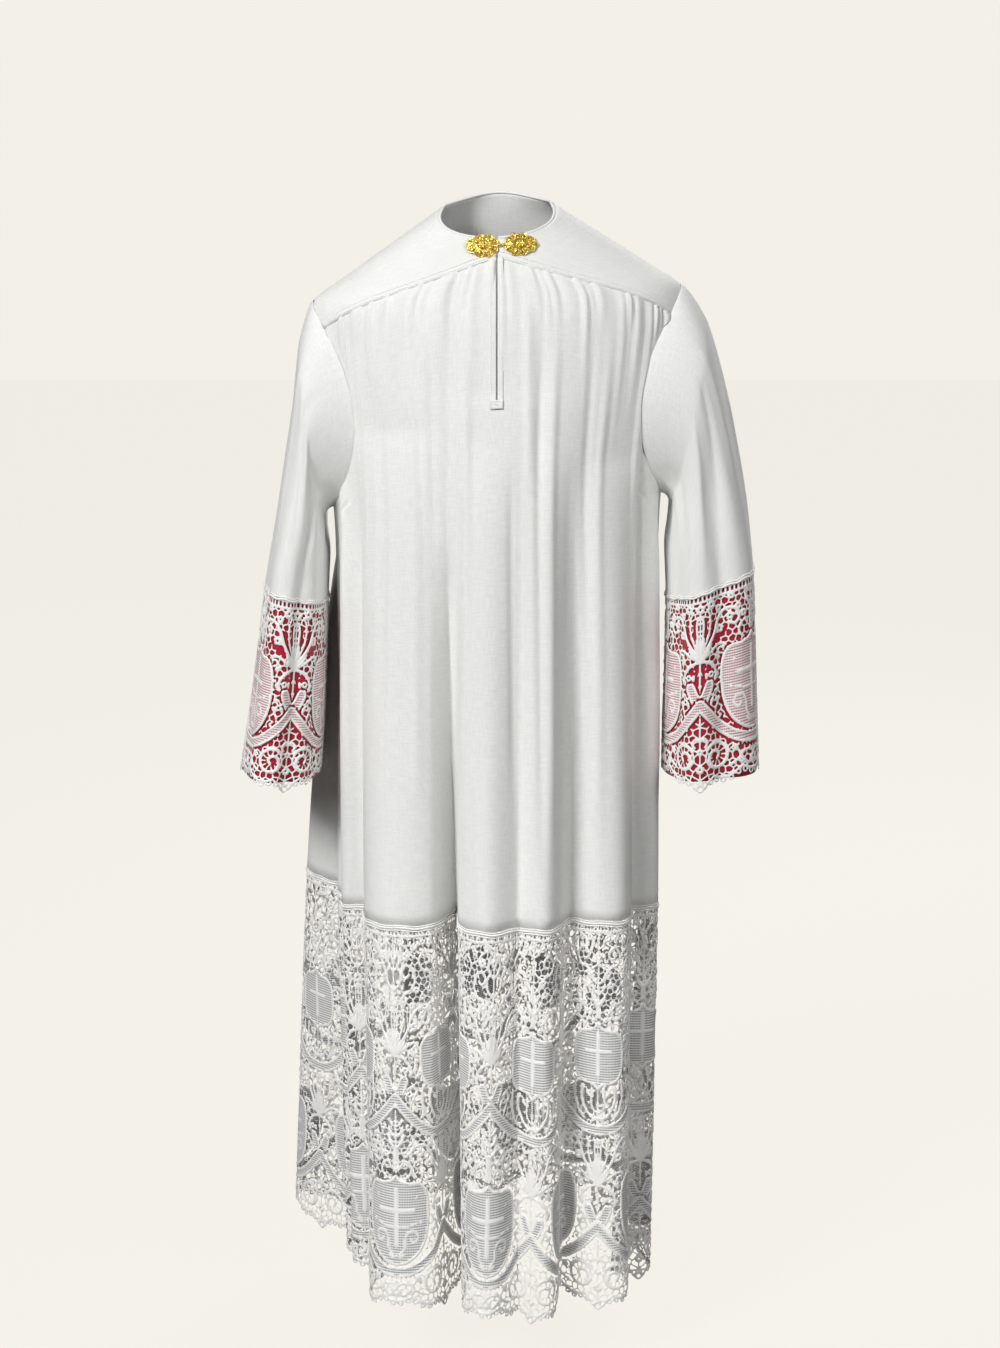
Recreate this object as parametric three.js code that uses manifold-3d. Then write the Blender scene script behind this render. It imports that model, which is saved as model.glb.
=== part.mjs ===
// A lace-trimmed alb: the long white linen gown worn under other vestments, in the hollow form it takes
// when worn. A split yoke closes with a gilt clasp, the front and back hang in gathers from the yoke, the
// bell sleeves end in lace cuffs over red linings, and a deep band of the same lace is sewn round the
// hem.
//
// Frame: millimetres, +Z up, the gown faces -Y and +X is the wearer's left. The origin is the middle of
// the neck opening, at the height where the yoke rests on the sides of the wearer's neck.
import * as THREE from "three";
import { mergeVertices } from "three/addons/utils/BufferGeometryUtils.js";
import Module from "manifold-3d";

// ---------------------------------------------------------------- driving sizes, in millimetres and degrees
const LINEN = 1.2; // wall of the gown's cloth
const YOKE = 2.0; // the yoke is two layers
const LACE = 1.8; // corded lace
const LINING = 1.0;
const LINING_APART = 1.2; // the lace hangs this clear of the lining
const SEAM = 0.3; // gap between pieces at a seam

const YOKE_FRONT = { centre: -56, end: -140, curve: 1.15 }; // height of the front yoke seam, and its bow
const YOKE_BACK = { centre: -126, end: -140, curve: 1.6 };
const YOKE_REACH = 64; // degrees from centre to the end of each yoke seam, at the armhole
const NECK = { front: -31, side: 12, back: 26 }; // height of the neck edge
const ARMHOLE = { top: -105, bottom: -385, reach: 38 }; // reach: degrees that it cuts in from the side
const SEAM_TURN = 0.035; // half of a seam's gap, in degrees round the body
// Where the yoke's and the panels' rows lie, from the neck edge (0) to the yoke seam (1), and on down to
// the underarm.
const YOKE_ROWS = [0, 0.42, (NECK.side - ARMHOLE.top) / (NECK.side - YOKE_FRONT.end), 0.88, 1];
const PANEL_ROWS = [0, 0.09, 0.3, 0.5, 0.72, 0.88, 1];
const GOWN_ROWS = [-540, -740]; // heights of the rows between the underarm and the lace
const LACE_TOP = -945; // height of the seam above the hem lace
const HEM = -1466; // height of the hem between its lobes
// The gown hangs higher on the wearer's left: the slope of its level lines, and where that fades out.
const LEAN = { slope: 0.043, from: -560, to: -880 };

const SLIT = { width: 1.2, bottom: -244, yokeDeep: 80 }; // yokeDeep: how far forward the yoke is there
const TACK = { wide: 17, top: -238, tall: 12, thick: 1, clear: 1.4 }; // the patch sewn over the slit's end
const GATHERS = { count: 32, rows: [2, 3.2, 1.3] }; // below each yoke seam; rows: how far they stand out

// The gown's sections: half its width, and how far it stands forward and back, at each height.
const SECTIONS = [
  { z: 40, half: 42, front: 52, back: 58 },
  { z: 12, half: 72, front: 62, back: 66 },
  { z: 0, half: 90, front: 65, back: 69 },
  { z: -36, half: 145, front: 76, back: 78 },
  { z: -70, half: 196, front: 89, back: 89 },
  { z: -105, half: 246, front: 100, back: 99 },
  { z: -140, half: 254, front: 110, back: 107 },
  { z: -200, half: 249, front: 121, back: 115 },
  { z: -260, half: 240, front: 129, back: 121 },
  { z: -385, half: 224, front: 138, back: 129 },
  { z: -500, half: 221, front: 140, back: 132 },
  { z: -700, half: 219, front: 141, back: 135 },
  { z: -945, half: 214, front: 143, back: 141 },
  { z: -1200, half: 203, front: 151, back: 154 },
  { z: -1540, half: 188, front: 166, back: 176 },
];

// The large folds that grow from the yoke to the hem: the angle round the body from centre front
// (positive to the wearer's left), half the width in degrees, how far the fold stands out at the hem
// (negative is a trough), its height where it starts, how square its crest is (1 is a plain wave, less is
// squarer), and the power of its growth.
const FOLDS = [
  { at: 4, half: 25, deep: 44, start: -230, square: 0.4, grow: 0.66 },
  { at: -4, half: 11.5, deep: 42, start: -300, square: 0.6, grow: 0.7 },
  { at: -17.5, half: 4.8, deep: -84, start: -430, square: 0.8, grow: 0.8 },
  { at: -36, half: 18.5, deep: 80, start: -280, square: 0.3, grow: 0.68 },
  { at: -67, half: 10, deep: 34, start: -340, square: 0.7, grow: 0.8 },
  { at: 16, half: 9, deep: 42, start: -300, square: 0.6, grow: 0.7 },
  { at: 42, half: 14.5, deep: 74, start: -330, square: 0.45, grow: 0.72 },
  { at: 68, half: 12.5, deep: 46, start: -300, square: 0.7, grow: 0.85 },
  { at: 92, half: 12, deep: 34, start: -640, square: 0.9, grow: 0.9 },
  { at: -86, half: 10, deep: 30, start: -640, square: 0.9, grow: 0.9 },
  { at: -117, half: 20, deep: 154, start: -420, square: 0.8, grow: 0.55 },
  { at: 119, half: 13, deep: 50, start: -300, square: 0.8, grow: 0.85 },
  { at: 144, half: 12.5, deep: 54, start: -240, square: 0.8, grow: 0.75 },
  { at: 168, half: 11, deep: 48, start: -220, square: 0.8, grow: 0.75 },
  { at: -147, half: 10.5, deep: 46, start: -260, square: 0.8, grow: 0.8 },
  { at: -170, half: 11.5, deep: 54, start: -210, square: 0.8, grow: 0.75 },
];

// Each sleeve from the armhole (0) to the seam above its cuff (1), then to the cuff's edge (2): the outer
// and inner line seen from the front, half the depth from front to back, and how far its middle lies
// behind the shoulder.
const SLEEVE_LEFT = [
  { t: 0, outX: 246, outZ: -105, inX: 226, inZ: -385, deep: 88, y: 2 },
  { t: 0.06, outX: 264, outZ: -119, inX: 236, inZ: -389, deep: 88, y: 2 },
  { t: 0.15, outX: 284, outZ: -156, inX: 236, inZ: -400, deep: 89, y: 2 },
  { t: 0.3, outX: 305, outZ: -222, inX: 234, inZ: -423, deep: 90, y: 1 },
  { t: 0.5, outX: 324, outZ: -306, inX: 230, inZ: -452, deep: 90, y: -2 },
  { t: 0.75, outX: 340, outZ: -400, inX: 231, inZ: -490, deep: 89, y: -8 },
  { t: 1, outX: 351, outZ: -490, inX: 232, inZ: -525, deep: 87, y: -14 },
  { t: 1.5, outX: 357, outZ: -625, inX: 230, inZ: -645, deep: 87, y: -22 },
  { t: 2, outX: 364, outZ: -762, inX: 228, inZ: -768, deep: 88, y: -30 },
];
const SLEEVE_RIGHT = [
  { t: 0, outX: 246, outZ: -105, inX: 226, inZ: -385, deep: 88, y: 2 },
  { t: 0.06, outX: 257, outZ: -121, inX: 236, inZ: -389, deep: 88, y: 2 },
  { t: 0.15, outX: 267, outZ: -160, inX: 236, inZ: -400, deep: 91, y: 2 },
  { t: 0.3, outX: 276, outZ: -228, inX: 234, inZ: -421, deep: 94, y: 1 },
  { t: 0.5, outX: 289, outZ: -310, inX: 230, inZ: -446, deep: 96, y: -2 },
  { t: 0.75, outX: 303, outZ: -398, inX: 231, inZ: -478, deep: 96, y: -8 },
  { t: 1, outX: 318, outZ: -484, inX: 232, inZ: -508, deep: 94, y: -14 },
  { t: 1.5, outX: 336, outZ: -617, inX: 237, inZ: -636, deep: 93, y: -22 },
  { t: 2, outX: 357, outZ: -752, inX: 245, inZ: -765, deep: 93, y: -30 },
];

// Soft folds along each sleeve: the angle round it from its outer line (positive to the front), half the
// width in degrees, how far it stands out (negative is a trough), and the stretch of the sleeve that it
// runs along.
const SLEEVE_FOLDS = {
  left: [
    { at: 78, half: 26, deep: -13, from: 0.12, to: 2.6 },
    { at: 118, half: 24, deep: 7, from: 0.2, to: 2.6 },
    { at: 38, half: 24, deep: 5, from: 0.5, to: 2.6 },
    { at: -75, half: 32, deep: -9, from: 0.3, to: 2.6 },
    { at: -130, half: 30, deep: 6, from: 0.4, to: 2.6 },
    { at: 20, half: 22, deep: -5, from: -0.1, to: 0.8 },
  ],
  right: [
    { at: 108, half: 24, deep: -9, from: 0.12, to: 2.6 },
    { at: 62, half: 30, deep: 6, from: 0.4, to: 2.6 },
    { at: -70, half: 30, deep: -8, from: 0.3, to: 2.6 },
    { at: -120, half: 28, deep: 6, from: 0.4, to: 2.6 },
    { at: 26, half: 22, deep: -5, from: -0.1, to: 0.8 },
  ],
};

const SLEEVE_COLUMNS = 22; // steps round each sleeve
const SLEEVE_STEPS = [0.06, 0.13, 0.24, 0.38, 0.54, 0.7, 0.86]; // its rows, from the armhole to the cuff
const SLEEVE_BLEND = 0.16; // where the armhole's shape has gone over into the sleeve's own

// The lace: the cells of one repeat, and the lobes of its edge, each drawn with so many points. The middle
// ones hang lowest.
const LACE_BAND = { columns: 8, lobes: 4, lobePoints: 2, lobe: 8, hang: 14 };
// Repeats round the front, and again round the back, with the pattern's phase at the side seams.
const HEM_BAND = { repeats: 7, rows: 6, first: 0.25 };
// The cuff's lace, its repeats round half the cuff, and the pattern's phase where each half starts.
const CUFF_BAND = { length: 270, repeats: 1.5, rows: 4, first: { front: 0.625, back: 0.125 } };
const CORD = { wide: 5, high: 1.6 }; // the raised cord along the lace's seam
// The widest gaps of one repeat. Each lies in the cell that is so many columns from the repeat's middle,
// on both sides, and so many rows up from the hem, and is a lozenge of half this width and height, turned
// so many degrees.
const GAPS = [
  { column: 2, row: 1, wide: 5.6, tall: 7.0, turn: 12 },
  { column: 4, row: 1, wide: 4.8, tall: 6.0, turn: 0 },
  { column: 1, row: 2, wide: 5.0, tall: 6.4, turn: -18 },
  { column: 3, row: 3, wide: 5.8, tall: 7.4, turn: 25 },
  { column: 2, row: 4, wide: 5.2, tall: 6.6, turn: -10 },
  { column: 4, row: 5, wide: 5.6, tall: 7.2, turn: 0 },
  { column: 1, row: 5, wide: 4.8, tall: 6.2, turn: 20 },
];

// The clasp: two leaf plates, each laid on the yoke, joined by a hook over the slit.
const CLASP = { middle: 6, z: -41, long: 41, tall: 29, thick: 2.2, apart: 10, stand: 0.6 };
const LEAVES = { count: 9, ripple: 0.07, narrow: 0.22 }; // the outline of each plate
const BOSS = { long: 12.3, tall: 7.5, high: 3 }; // half the size of the dome on each plate
const HOOK = { radius: 1.2, bead: 2, beadsApart: 4.5, stand: 3.2 };

const SIDE = 90; // degrees from a panel's centre to its side seam
const ROW_SAMPLES = 360; // finer steps that a row's even steps are measured with

// ---------------------------------------------------------------- small helpers
const rad = THREE.MathUtils.degToRad;
const ease = (t) => THREE.MathUtils.smoothstep(t, 0, 1);
const mix = THREE.MathUtils.lerp;
const point = (x, y, z) => new THREE.Vector3(x, y, z);

// A column of a table at a place along its key, on a smooth curve through the rows.
function read(table, key, at, column) {
  const rising = table[0][key] < table[table.length - 1][key];
  let i = table.findIndex((row) => (rising ? row[key] > at : row[key] < at)) - 1;
  if (i === -2) i = table.length - 2;
  if (i < 0) i = 0;
  const rows = [i - 1, i, i + 1, i + 2].map((k) => table[THREE.MathUtils.clamp(k, 0, table.length - 1)]);
  const [before, start, end, after] = rows;
  const span = end[key] - start[key];
  const t = THREE.MathUtils.clamp((at - start[key]) / span, 0, 1);
  const slope = (a, b) => (a === b ? 0 : ((b[column] - a[column]) / (b[key] - a[key])) * span);
  const m0 = before === start ? slope(start, end) : slope(before, end);
  const m1 = after === end ? slope(start, end) : slope(start, after);
  const t2 = t * t;
  const t3 = t2 * t;
  const places = (2 * t3 - 3 * t2 + 1) * start[column] + (3 * t2 - 2 * t3) * end[column];
  return places + (t3 - 2 * t2 + t) * m0 + (t3 - t2) * m1;
}

// The shortest way from one angle to another, in degrees.
const apart = (a, b) => ((((a - b) % 360) + 540) % 360) - 180;

// A fold's cross-section: 1 on its crest and 0 at half its width to each side.
function crest(distance, half, square) {
  const u = Math.abs(distance) / half;
  return u >= 1 ? 0 : (0.5 + 0.5 * Math.cos(Math.PI * u)) ** square;
}

// How much of the lean is left at a height.
function lean(x, z) {
  return LEAN.slope * x * (1 - ease((LEAN.from - z) / (LEAN.from - LEAN.to)));
}

// ---------------------------------------------------------------- the gown's surface
const isFront = (turn) => Math.abs(apart(turn, 0)) <= SIDE;
// The yoke seam's height, at an angle round the body in degrees.
function yokeSeam(turn) {
  const [seam, centre] = isFront(turn) ? [YOKE_FRONT, 0] : [YOKE_BACK, 180];
  const share = Math.min(Math.abs(apart(turn, centre)) / YOKE_REACH, 1);
  return mix(seam.centre, seam.end, share ** seam.curve);
}
// The neck edge's height.
function neckEdge(turn) {
  const side = Math.sin(rad(turn)) ** 2;
  return mix(isFront(turn) ? NECK.front : NECK.back, NECK.side, side);
}

// How far the folds stand out at an angle round the body and a height.
function folds(turn, z) {
  let out = 0;
  for (const fold of FOLDS) {
    if (z >= fold.start) continue;
    const grown = ((fold.start - z) / (fold.start - HEM)) ** fold.grow;
    out += fold.deep * grown * crest(apart(turn, fold.at), fold.half, fold.square);
  }
  return out;
}

// A point of the gown's outer face: turn is the angle round the body from centre front, in degrees.
function gown(turn, z) {
  const a = rad(turn);
  const half = read(SECTIONS, "z", z, "half");
  const deep = read(SECTIONS, "z", z, isFront(turn) ? "front" : "back");
  const out = folds(turn, z);
  const n = new THREE.Vector2(Math.sin(a) / half, -Math.cos(a) / deep).normalize();
  const x = half * Math.sin(a) + out * n.x;
  return point(x, -deep * Math.cos(a) + out * n.y, z + lean(x, z));
}

// The gown's outward normal, from its two tangents.
function gownNormal(turn, z) {
  const round = gown(turn + 0.5, z).sub(gown(turn - 0.5, z));
  const up = gown(turn, z + 1.5).sub(gown(turn, z - 1.5));
  return round.cross(up).normalize();
}

// The armhole's half-opening in degrees at a height, measured from the side.
function armholeReach(z) {
  const middle = (ARMHOLE.top + ARMHOLE.bottom) / 2;
  const u = (z - middle) / ((ARMHOLE.top - ARMHOLE.bottom) / 2);
  return Math.abs(u) >= 1 ? 0 : ARMHOLE.reach * Math.sqrt(1 - u * u);
}

// ---------------------------------------------------------------- walls
// Triangles between two rows of places, each row's at rising u. Seen from outside, u rises to the right.
function stitch(top, low, add) {
  let i = 0;
  let j = 0;
  while (i < top.length - 1 || j < low.length - 1) {
    if (j === low.length - 1 || (i < top.length - 1 && top[i + 1].u <= low[j + 1].u + 1e-9)) {
      add(top[i], low[j], top[i + 1]);
      i += 1;
    } else {
      add(top[i], low[j], low[j + 1]);
      j += 1;
    }
  }
}

// A closed wall through rows of { u, p, n, raise } from the top down: outer points p, raised where they
// say so, and inner ones the wall's thickness behind them. On a tube each row ends where it began. gapAt
// gives the gap of the cell below row r and after column k, if it has one.
function wall(rows, thick, { tube = false, gapAt = () => null } = {}) {
  const xyz = [];
  const tris = [];
  const place = ({ u, p, n, raise = 0 }) => {
    p.clone().addScaledVector(n, raise).toArray(xyz, xyz.length);
    p.clone().addScaledVector(n, -thick).toArray(xyz, xyz.length);
    return { u, p, n, out: xyz.length / 3 - 2, in: xyz.length / 3 - 1 };
  };
  const skin = (a, b, c) => tris.push(a.out, b.out, c.out, a.in, c.in, b.in);
  const rim = (a, b) => tris.push(b.out, a.out, a.in, b.out, a.in, b.in);
  const grid = rows.map((row) => {
    const made = row.slice(0, tube ? -1 : undefined).map(place);
    return tube ? [...made, { ...made[0], u: 1 }] : made;
  });
  for (let r = 0; r + 1 < grid.length; r += 1) {
    const [top, low] = [grid[r], grid[r + 1]];
    let start = 0;
    for (let k = 0; k + 1 < top.length; k += 1) {
      const gap = gapAt(r, k);
      if (!gap) continue;
      stitch(top.slice(start, k + 1), low.slice(start, k + 1), skin);
      const corners = [top[k], top[k + 1], low[k], low[k + 1]];
      const loop = gapLoop(corners, gap).map(place);
      stitch([...loop, { ...loop[0], u: loop[0].u + 360 }], cellLoop(corners), skin);
      loop.forEach((here, i) => rim(loop[(i + 1) % loop.length], here));
      start = k + 1;
    }
    stitch(top.slice(start), low.slice(start), skin);
  }
  const last = grid.length - 1;
  for (let k = 0; k + 1 < grid[0].length; k += 1) rim(grid[0][k + 1], grid[0][k]);
  for (let k = 0; k + 1 < grid[last].length; k += 1) rim(grid[last][k], grid[last][k + 1]);
  for (let r = 0; r < last && !tube; r += 1) {
    rim(grid[r][0], grid[r + 1][0]);
    rim(grid[r + 1][grid[r + 1].length - 1], grid[r][grid[r].length - 1]);
  }
  const geometry = new THREE.BufferGeometry();
  geometry.setAttribute("position", new THREE.Float32BufferAttribute(xyz, 3));
  geometry.setIndex(tris);
  return geometry;
}

// The size of a cell, from its corners [top left, top right, low left, low right].
function cellSize([topLeft, topRight, lowLeft, lowRight]) {
  const middle = (a, b) => a.p.clone().add(b.p).multiplyScalar(0.5);
  return {
    wide: middle(topLeft, lowLeft).distanceTo(middle(topRight, lowRight)),
    tall: middle(topLeft, topRight).distanceTo(middle(lowLeft, lowRight)),
  };
}

// A cell's corners in order round its middle, u their angle in degrees.
function cellLoop(corners) {
  const [topLeft, topRight, lowLeft, lowRight] = corners;
  const { wide, tall } = cellSize(corners);
  const corner = THREE.MathUtils.radToDeg(Math.atan2(tall, wide));
  return [
    { ...topRight, u: corner },
    { ...topLeft, u: 180 - corner },
    { ...lowLeft, u: 180 + corner },
    { ...lowRight, u: 360 - corner },
    { ...topRight, u: 360 + corner },
  ];
}

// A gap's corners in the middle of a cell, in order round it, u their angle in degrees.
function gapLoop(corners, gap) {
  const [topLeft, topRight, lowLeft, lowRight] = corners;
  const { wide, tall } = cellSize(corners);
  return [0, 90, 180, 270].map((angle) => {
    const along = new THREE.Vector2(gap.wide * Math.cos(rad(angle)), gap.tall * Math.sin(rad(angle)));
    along.rotateAround(new THREE.Vector2(), rad(gap.turn));
    const [x, y] = [0.5 + along.x / wide, 0.5 + along.y / tall];
    const blend = (key) => {
      const low = lowLeft[key].clone().lerp(lowRight[key], x);
      return low.lerp(topLeft[key].clone().lerp(topRight[key], x), y);
    };
    return { u: angle + gap.turn, p: blend("p"), n: blend("n").normalize() };
  });
}

// ---------------------------------------------------------------- solids, for cuts
const wasm = await Module();
wasm.setup();

function toSolid(geometry) {
  const bare = new THREE.BufferGeometry();
  bare.setAttribute("position", geometry.getAttribute("position"));
  bare.setIndex(geometry.index);
  const merged = mergeVertices(bare, 1e-4);
  const triVerts = new Uint32Array(merged.index.array);
  const mesh = { numProp: 3, vertProperties: new Float32Array(merged.attributes.position.array), triVerts };
  const solid = new wasm.Manifold(new wasm.Mesh(mesh));
  if (solid.volume() > 0) return solid;
  for (let k = 1; k < triVerts.length; k += 3) {
    [triVerts[k], triVerts[k + 1]] = [triVerts[k + 1], triVerts[k]];
  }
  return new wasm.Manifold(new wasm.Mesh(mesh));
}

function toGeometry(solid) {
  const mesh = solid.getMesh();
  const geometry = new THREE.BufferGeometry();
  geometry.setAttribute("position", new THREE.BufferAttribute(new Float32Array(mesh.vertProperties), 3));
  geometry.setIndex(new THREE.BufferAttribute(new Uint32Array(mesh.triVerts), 1));
  return geometry;
}

function cut(geometry, cutters) {
  const all = cutters.map((cutter) => toSolid(cutter));
  return toGeometry(toSolid(geometry).subtract(wasm.Manifold.union(all)));
}

// ---------------------------------------------------------------- panels of the gown
// One row round the body between two angles, at even steps along the cloth. height gives z at an angle,
// and extra how far each step stands out.
function row(from, to, count, height, extra = () => 0) {
  const steps = ROW_SAMPLES;
  const turns = Array.from({ length: steps + 1 }, (_, k) => mix(from, to, k / steps));
  const along = [0];
  for (let k = 1; k <= steps; k += 1) {
    const span = gown(turns[k], height(turns[k])).distanceTo(gown(turns[k - 1], height(turns[k - 1])));
    along.push(along[k - 1] + span);
  }
  let k = 0;
  return Array.from({ length: count + 1 }, (_, i) => {
    const want = (along[steps] * i) / count;
    while (k < steps - 1 && along[k + 1] < want) k += 1;
    const turn = mix(turns[k], turns[k + 1], (want - along[k]) / (along[k + 1] - along[k]));
    const z = height(turn);
    const n = gownNormal(turn, z);
    return { u: i / count, p: gown(turn, z).addScaledVector(n, extra(i)), n };
  });
}

// A panel's edge at the armhole, shoulder or side seam, in degrees from its own centre, for rows that
// follow height. The edge depends on the height there and the height on the edge, so each step goes half
// of the way to where they agree.
function panelEdge(centre, side, height) {
  const rounds = 60;
  let turn = YOKE_REACH;
  for (let k = 0; k < rounds; k += 1) {
    turn = mix(turn, SIDE - armholeReach(height(centre + side * turn)), 0.5);
  }
  return turn - SEAM_TURN;
}

const yokeRow = (v) => (turn) => mix(neckEdge(turn), yokeSeam(turn) + SEAM / 2, v);
const panelRow = (v) => (turn) => mix(yokeSeam(turn) - SEAM / 2, ARMHOLE.bottom, v);

// Front or back of the gown from the yoke seam to the lace: two columns a gather as far as the gathers
// stand out, then one, and at the lace as many as the lace has.
function panel(centre) {
  const rows = [];
  const addRow = (height, count, deep) => {
    const from = centre - panelEdge(centre, -1, height);
    const to = centre + panelEdge(centre, 1, height);
    const flat = (i) => (i % 2 === 0 ? deep : -deep);
    rows.push(row(from, to, count, height, deep ? flat : undefined));
  };
  PANEL_ROWS.forEach((v, r) => {
    const deep = GATHERS.rows[r] ?? 0;
    addRow(panelRow(v), GATHERS.count * (deep ? 2 : 1), deep);
  });
  for (const z of GOWN_ROWS) addRow(() => z, GATHERS.count, 0);
  addRow(() => LACE_TOP + SEAM / 2, HEM_BAND.repeats * LACE_BAND.columns, 0);
  return wall(rows, LINEN);
}

// Part of the yoke between two angles from its centre, where an angle of SIDE or more runs to the
// armhole: from the neck edge down to the yoke seam, where it has as many steps as the gathers that are
// sewn to it.
function yoke(centre, from, to, steps) {
  const rows = YOKE_ROWS.map((v) => {
    const start = from > -SIDE ? centre + from : centre - panelEdge(centre, -1, yokeRow(v));
    const end = to < SIDE ? centre + to : centre + panelEdge(centre, 1, yokeRow(v));
    return row(start, end, v === 1 ? steps * 2 : Math.ceil(steps * 0.6), yokeRow(v));
  });
  return wall(rows, YOKE);
}

// ---------------------------------------------------------------- sleeves
// The sleeve's edge in the armhole, at an angle round the sleeve from its top (positive to the front).
function armholePlace(angle, side) {
  const middle = (ARMHOLE.top + ARMHOLE.bottom) / 2;
  const z = middle + ((ARMHOLE.top - ARMHOLE.bottom - SEAM) / 2) * Math.cos(rad(angle));
  return [side * (SIDE - (ARMHOLE.reach - SEAM_TURN) * Math.sin(rad(angle))), z];
}

// Angles round the armhole, one for each row of the yoke and the panels that ends there.
function armholeAngles(side) {
  const middle = (ARMHOLE.top + ARMHOLE.bottom) / 2;
  const angles = [];
  for (const [front, centre] of [[-1, 180], [1, 0]]) {
    const rows = [...YOKE_ROWS.slice(0, -1).map(yokeRow), ...PANEL_ROWS.map(panelRow)];
    const heights = rows.map((height) => {
      const edge = panelEdge(centre, front * side, height);
      return height(centre + front * side * edge);
    });
    const inside = heights.filter((z) => z < ARMHOLE.top && z > ARMHOLE.bottom);
    const half = ARMHOLE.top - middle;
    angles.push(...inside.map((z) => front * THREE.MathUtils.radToDeg(Math.acos((z - middle) / half))));
  }
  return [-180, ...angles, 0, 180].sort((a, b) => a - b);
}

// A point of a sleeve's outer face: side is 1 on the wearer's left and -1 on the right, t as in its
// table, past 2 for what hangs below the cuff's edge.
function sleeve(side, angle, t) {
  const table = side > 0 ? SLEEVE_LEFT : SLEEVE_RIGHT;
  const get = (column) => {
    const end = read(table, "t", Math.min(t, 2), column);
    return t <= 2 ? end : end + (t - 2) * 2 * (end - read(table, "t", 1.5, column));
  };
  const a = rad(angle);
  let out = 0;
  for (const fold of SLEEVE_FOLDS[side > 0 ? "left" : "right"]) {
    const run = ease((t - fold.from) / 0.5) * ease((fold.to - t) / 0.5);
    out += fold.deep * run * crest(apart(angle, fold.at), fold.half, 1);
  }
  const top = point(get("outX"), 0, get("outZ"));
  const low = point(get("inX"), 0, get("inZ"));
  const middle = top.clone().add(low).multiplyScalar(0.5);
  const arm = top.clone().sub(low).multiplyScalar(0.5);
  const reach = arm.length();
  const deep = get("deep");
  const n = new THREE.Vector2(Math.cos(a) / reach, Math.sin(a) / deep).normalize();
  const across = reach * Math.cos(a) + out * n.x;
  const p = middle.addScaledVector(arm.normalize(), across);
  p.x *= side;
  p.y = get("y") - (deep * Math.sin(a) + out * n.y);
  p.z += lean(p.x, p.z);
  const blend = ease(t / SLEEVE_BLEND);
  return blend >= 1 ? p : gown(...armholePlace(angle, side)).lerp(p, blend);
}

function sleeveNormal(side, angle, t) {
  const round = sleeve(side, angle + 2, t).sub(sleeve(side, angle - 2, t));
  const along = sleeve(side, angle, t + 0.02).sub(sleeve(side, angle, Math.max(t - 0.02, 0)));
  return round.cross(along).multiplyScalar(side).normalize();
}

// One ring or part ring of a sleeve, at even steps along the cloth. place gives t at an angle.
function sleeveRow(side, from, to, count, place) {
  const steps = ROW_SAMPLES;
  const angles = Array.from({ length: steps + 1 }, (_, k) => mix(from, to, k / steps));
  const along = [0];
  for (let k = 1; k <= steps; k += 1) {
    const before = sleeve(side, angles[k - 1], place(angles[k - 1]));
    along.push(along[k - 1] + sleeve(side, angles[k], place(angles[k])).distanceTo(before));
  }
  let k = 0;
  return Array.from({ length: count + 1 }, (_, i) => {
    const want = (along[steps] * i) / count;
    while (k < steps - 1 && along[k + 1] < want) k += 1;
    const angle = mix(angles[k], angles[k + 1], (want - along[k]) / (along[k + 1] - along[k]));
    const t = place(angle);
    return { u: i / count, p: sleeve(side, angle, t), n: sleeveNormal(side, angle, t) };
  });
}

const alongCuff = (length) => 1 + length / CUFF_BAND.length; // t at a length below the cuff's seam

function sleeveWall(side) {
  const angles = armholeAngles(side);
  const sewn = angles.map((angle) => {
    const place = armholePlace(angle, side);
    return { u: (angle + 180) / 360, p: gown(...place), n: gownNormal(...place) };
  });
  const [first, ...others] = SLEEVE_STEPS;
  const next = angles.map((angle) => {
    return { u: (angle + 180) / 360, p: sleeve(side, angle, first), n: sleeveNormal(side, angle, first) };
  });
  const rows = others.map((t) => sleeveRow(side, -180, 180, SLEEVE_COLUMNS, () => t));
  return wall([sewn, next, ...rows, cuffRing(side, -SEAM, LACE_BAND.columns)], LINEN, { tube: true });
}

// The lining of a cuff: a tube made from the lace's places, moved in.
function liningWall(side) {
  const { length, rows } = CUFF_BAND;
  const inside = -LACE - LINING_APART;
  const rings = [CORD.wide, ...laceHeights(length, rows), length - LACE_BAND.lobe].map((down, r) => {
    const steps = r === rows ? LACE_BAND.lobes * LACE_BAND.lobePoints : LACE_BAND.columns;
    return cuffRing(side, down, steps).map(({ u, p, n }) => ({ u, p: p.addScaledVector(n, inside), n }));
  });
  return wall(rings, LINING, { tube: true });
}

// ---------------------------------------------------------------- lace
// How far the lace's edge hangs below the hem line, at a place counted in repeats from one edge of a
// repeat.
function lobes(repeat) {
  const place = (((repeat % 1) + 1) % 1) - 0.5;
  const lobe = Math.abs(Math.cos(Math.PI * LACE_BAND.lobes * place));
  return LACE_BAND.lobe * lobe + LACE_BAND.hang * Math.cos(Math.PI * place) ** 2;
}

// The heights of the rows between a strip's cord and its lobes, down from its top.
function laceHeights(tall, rows) {
  const above = tall - LACE_BAND.lobe - LACE_BAND.hang;
  return Array.from({ length: rows - 1 }, (_, r) => (above * (r + 1)) / rows);
}

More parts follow.
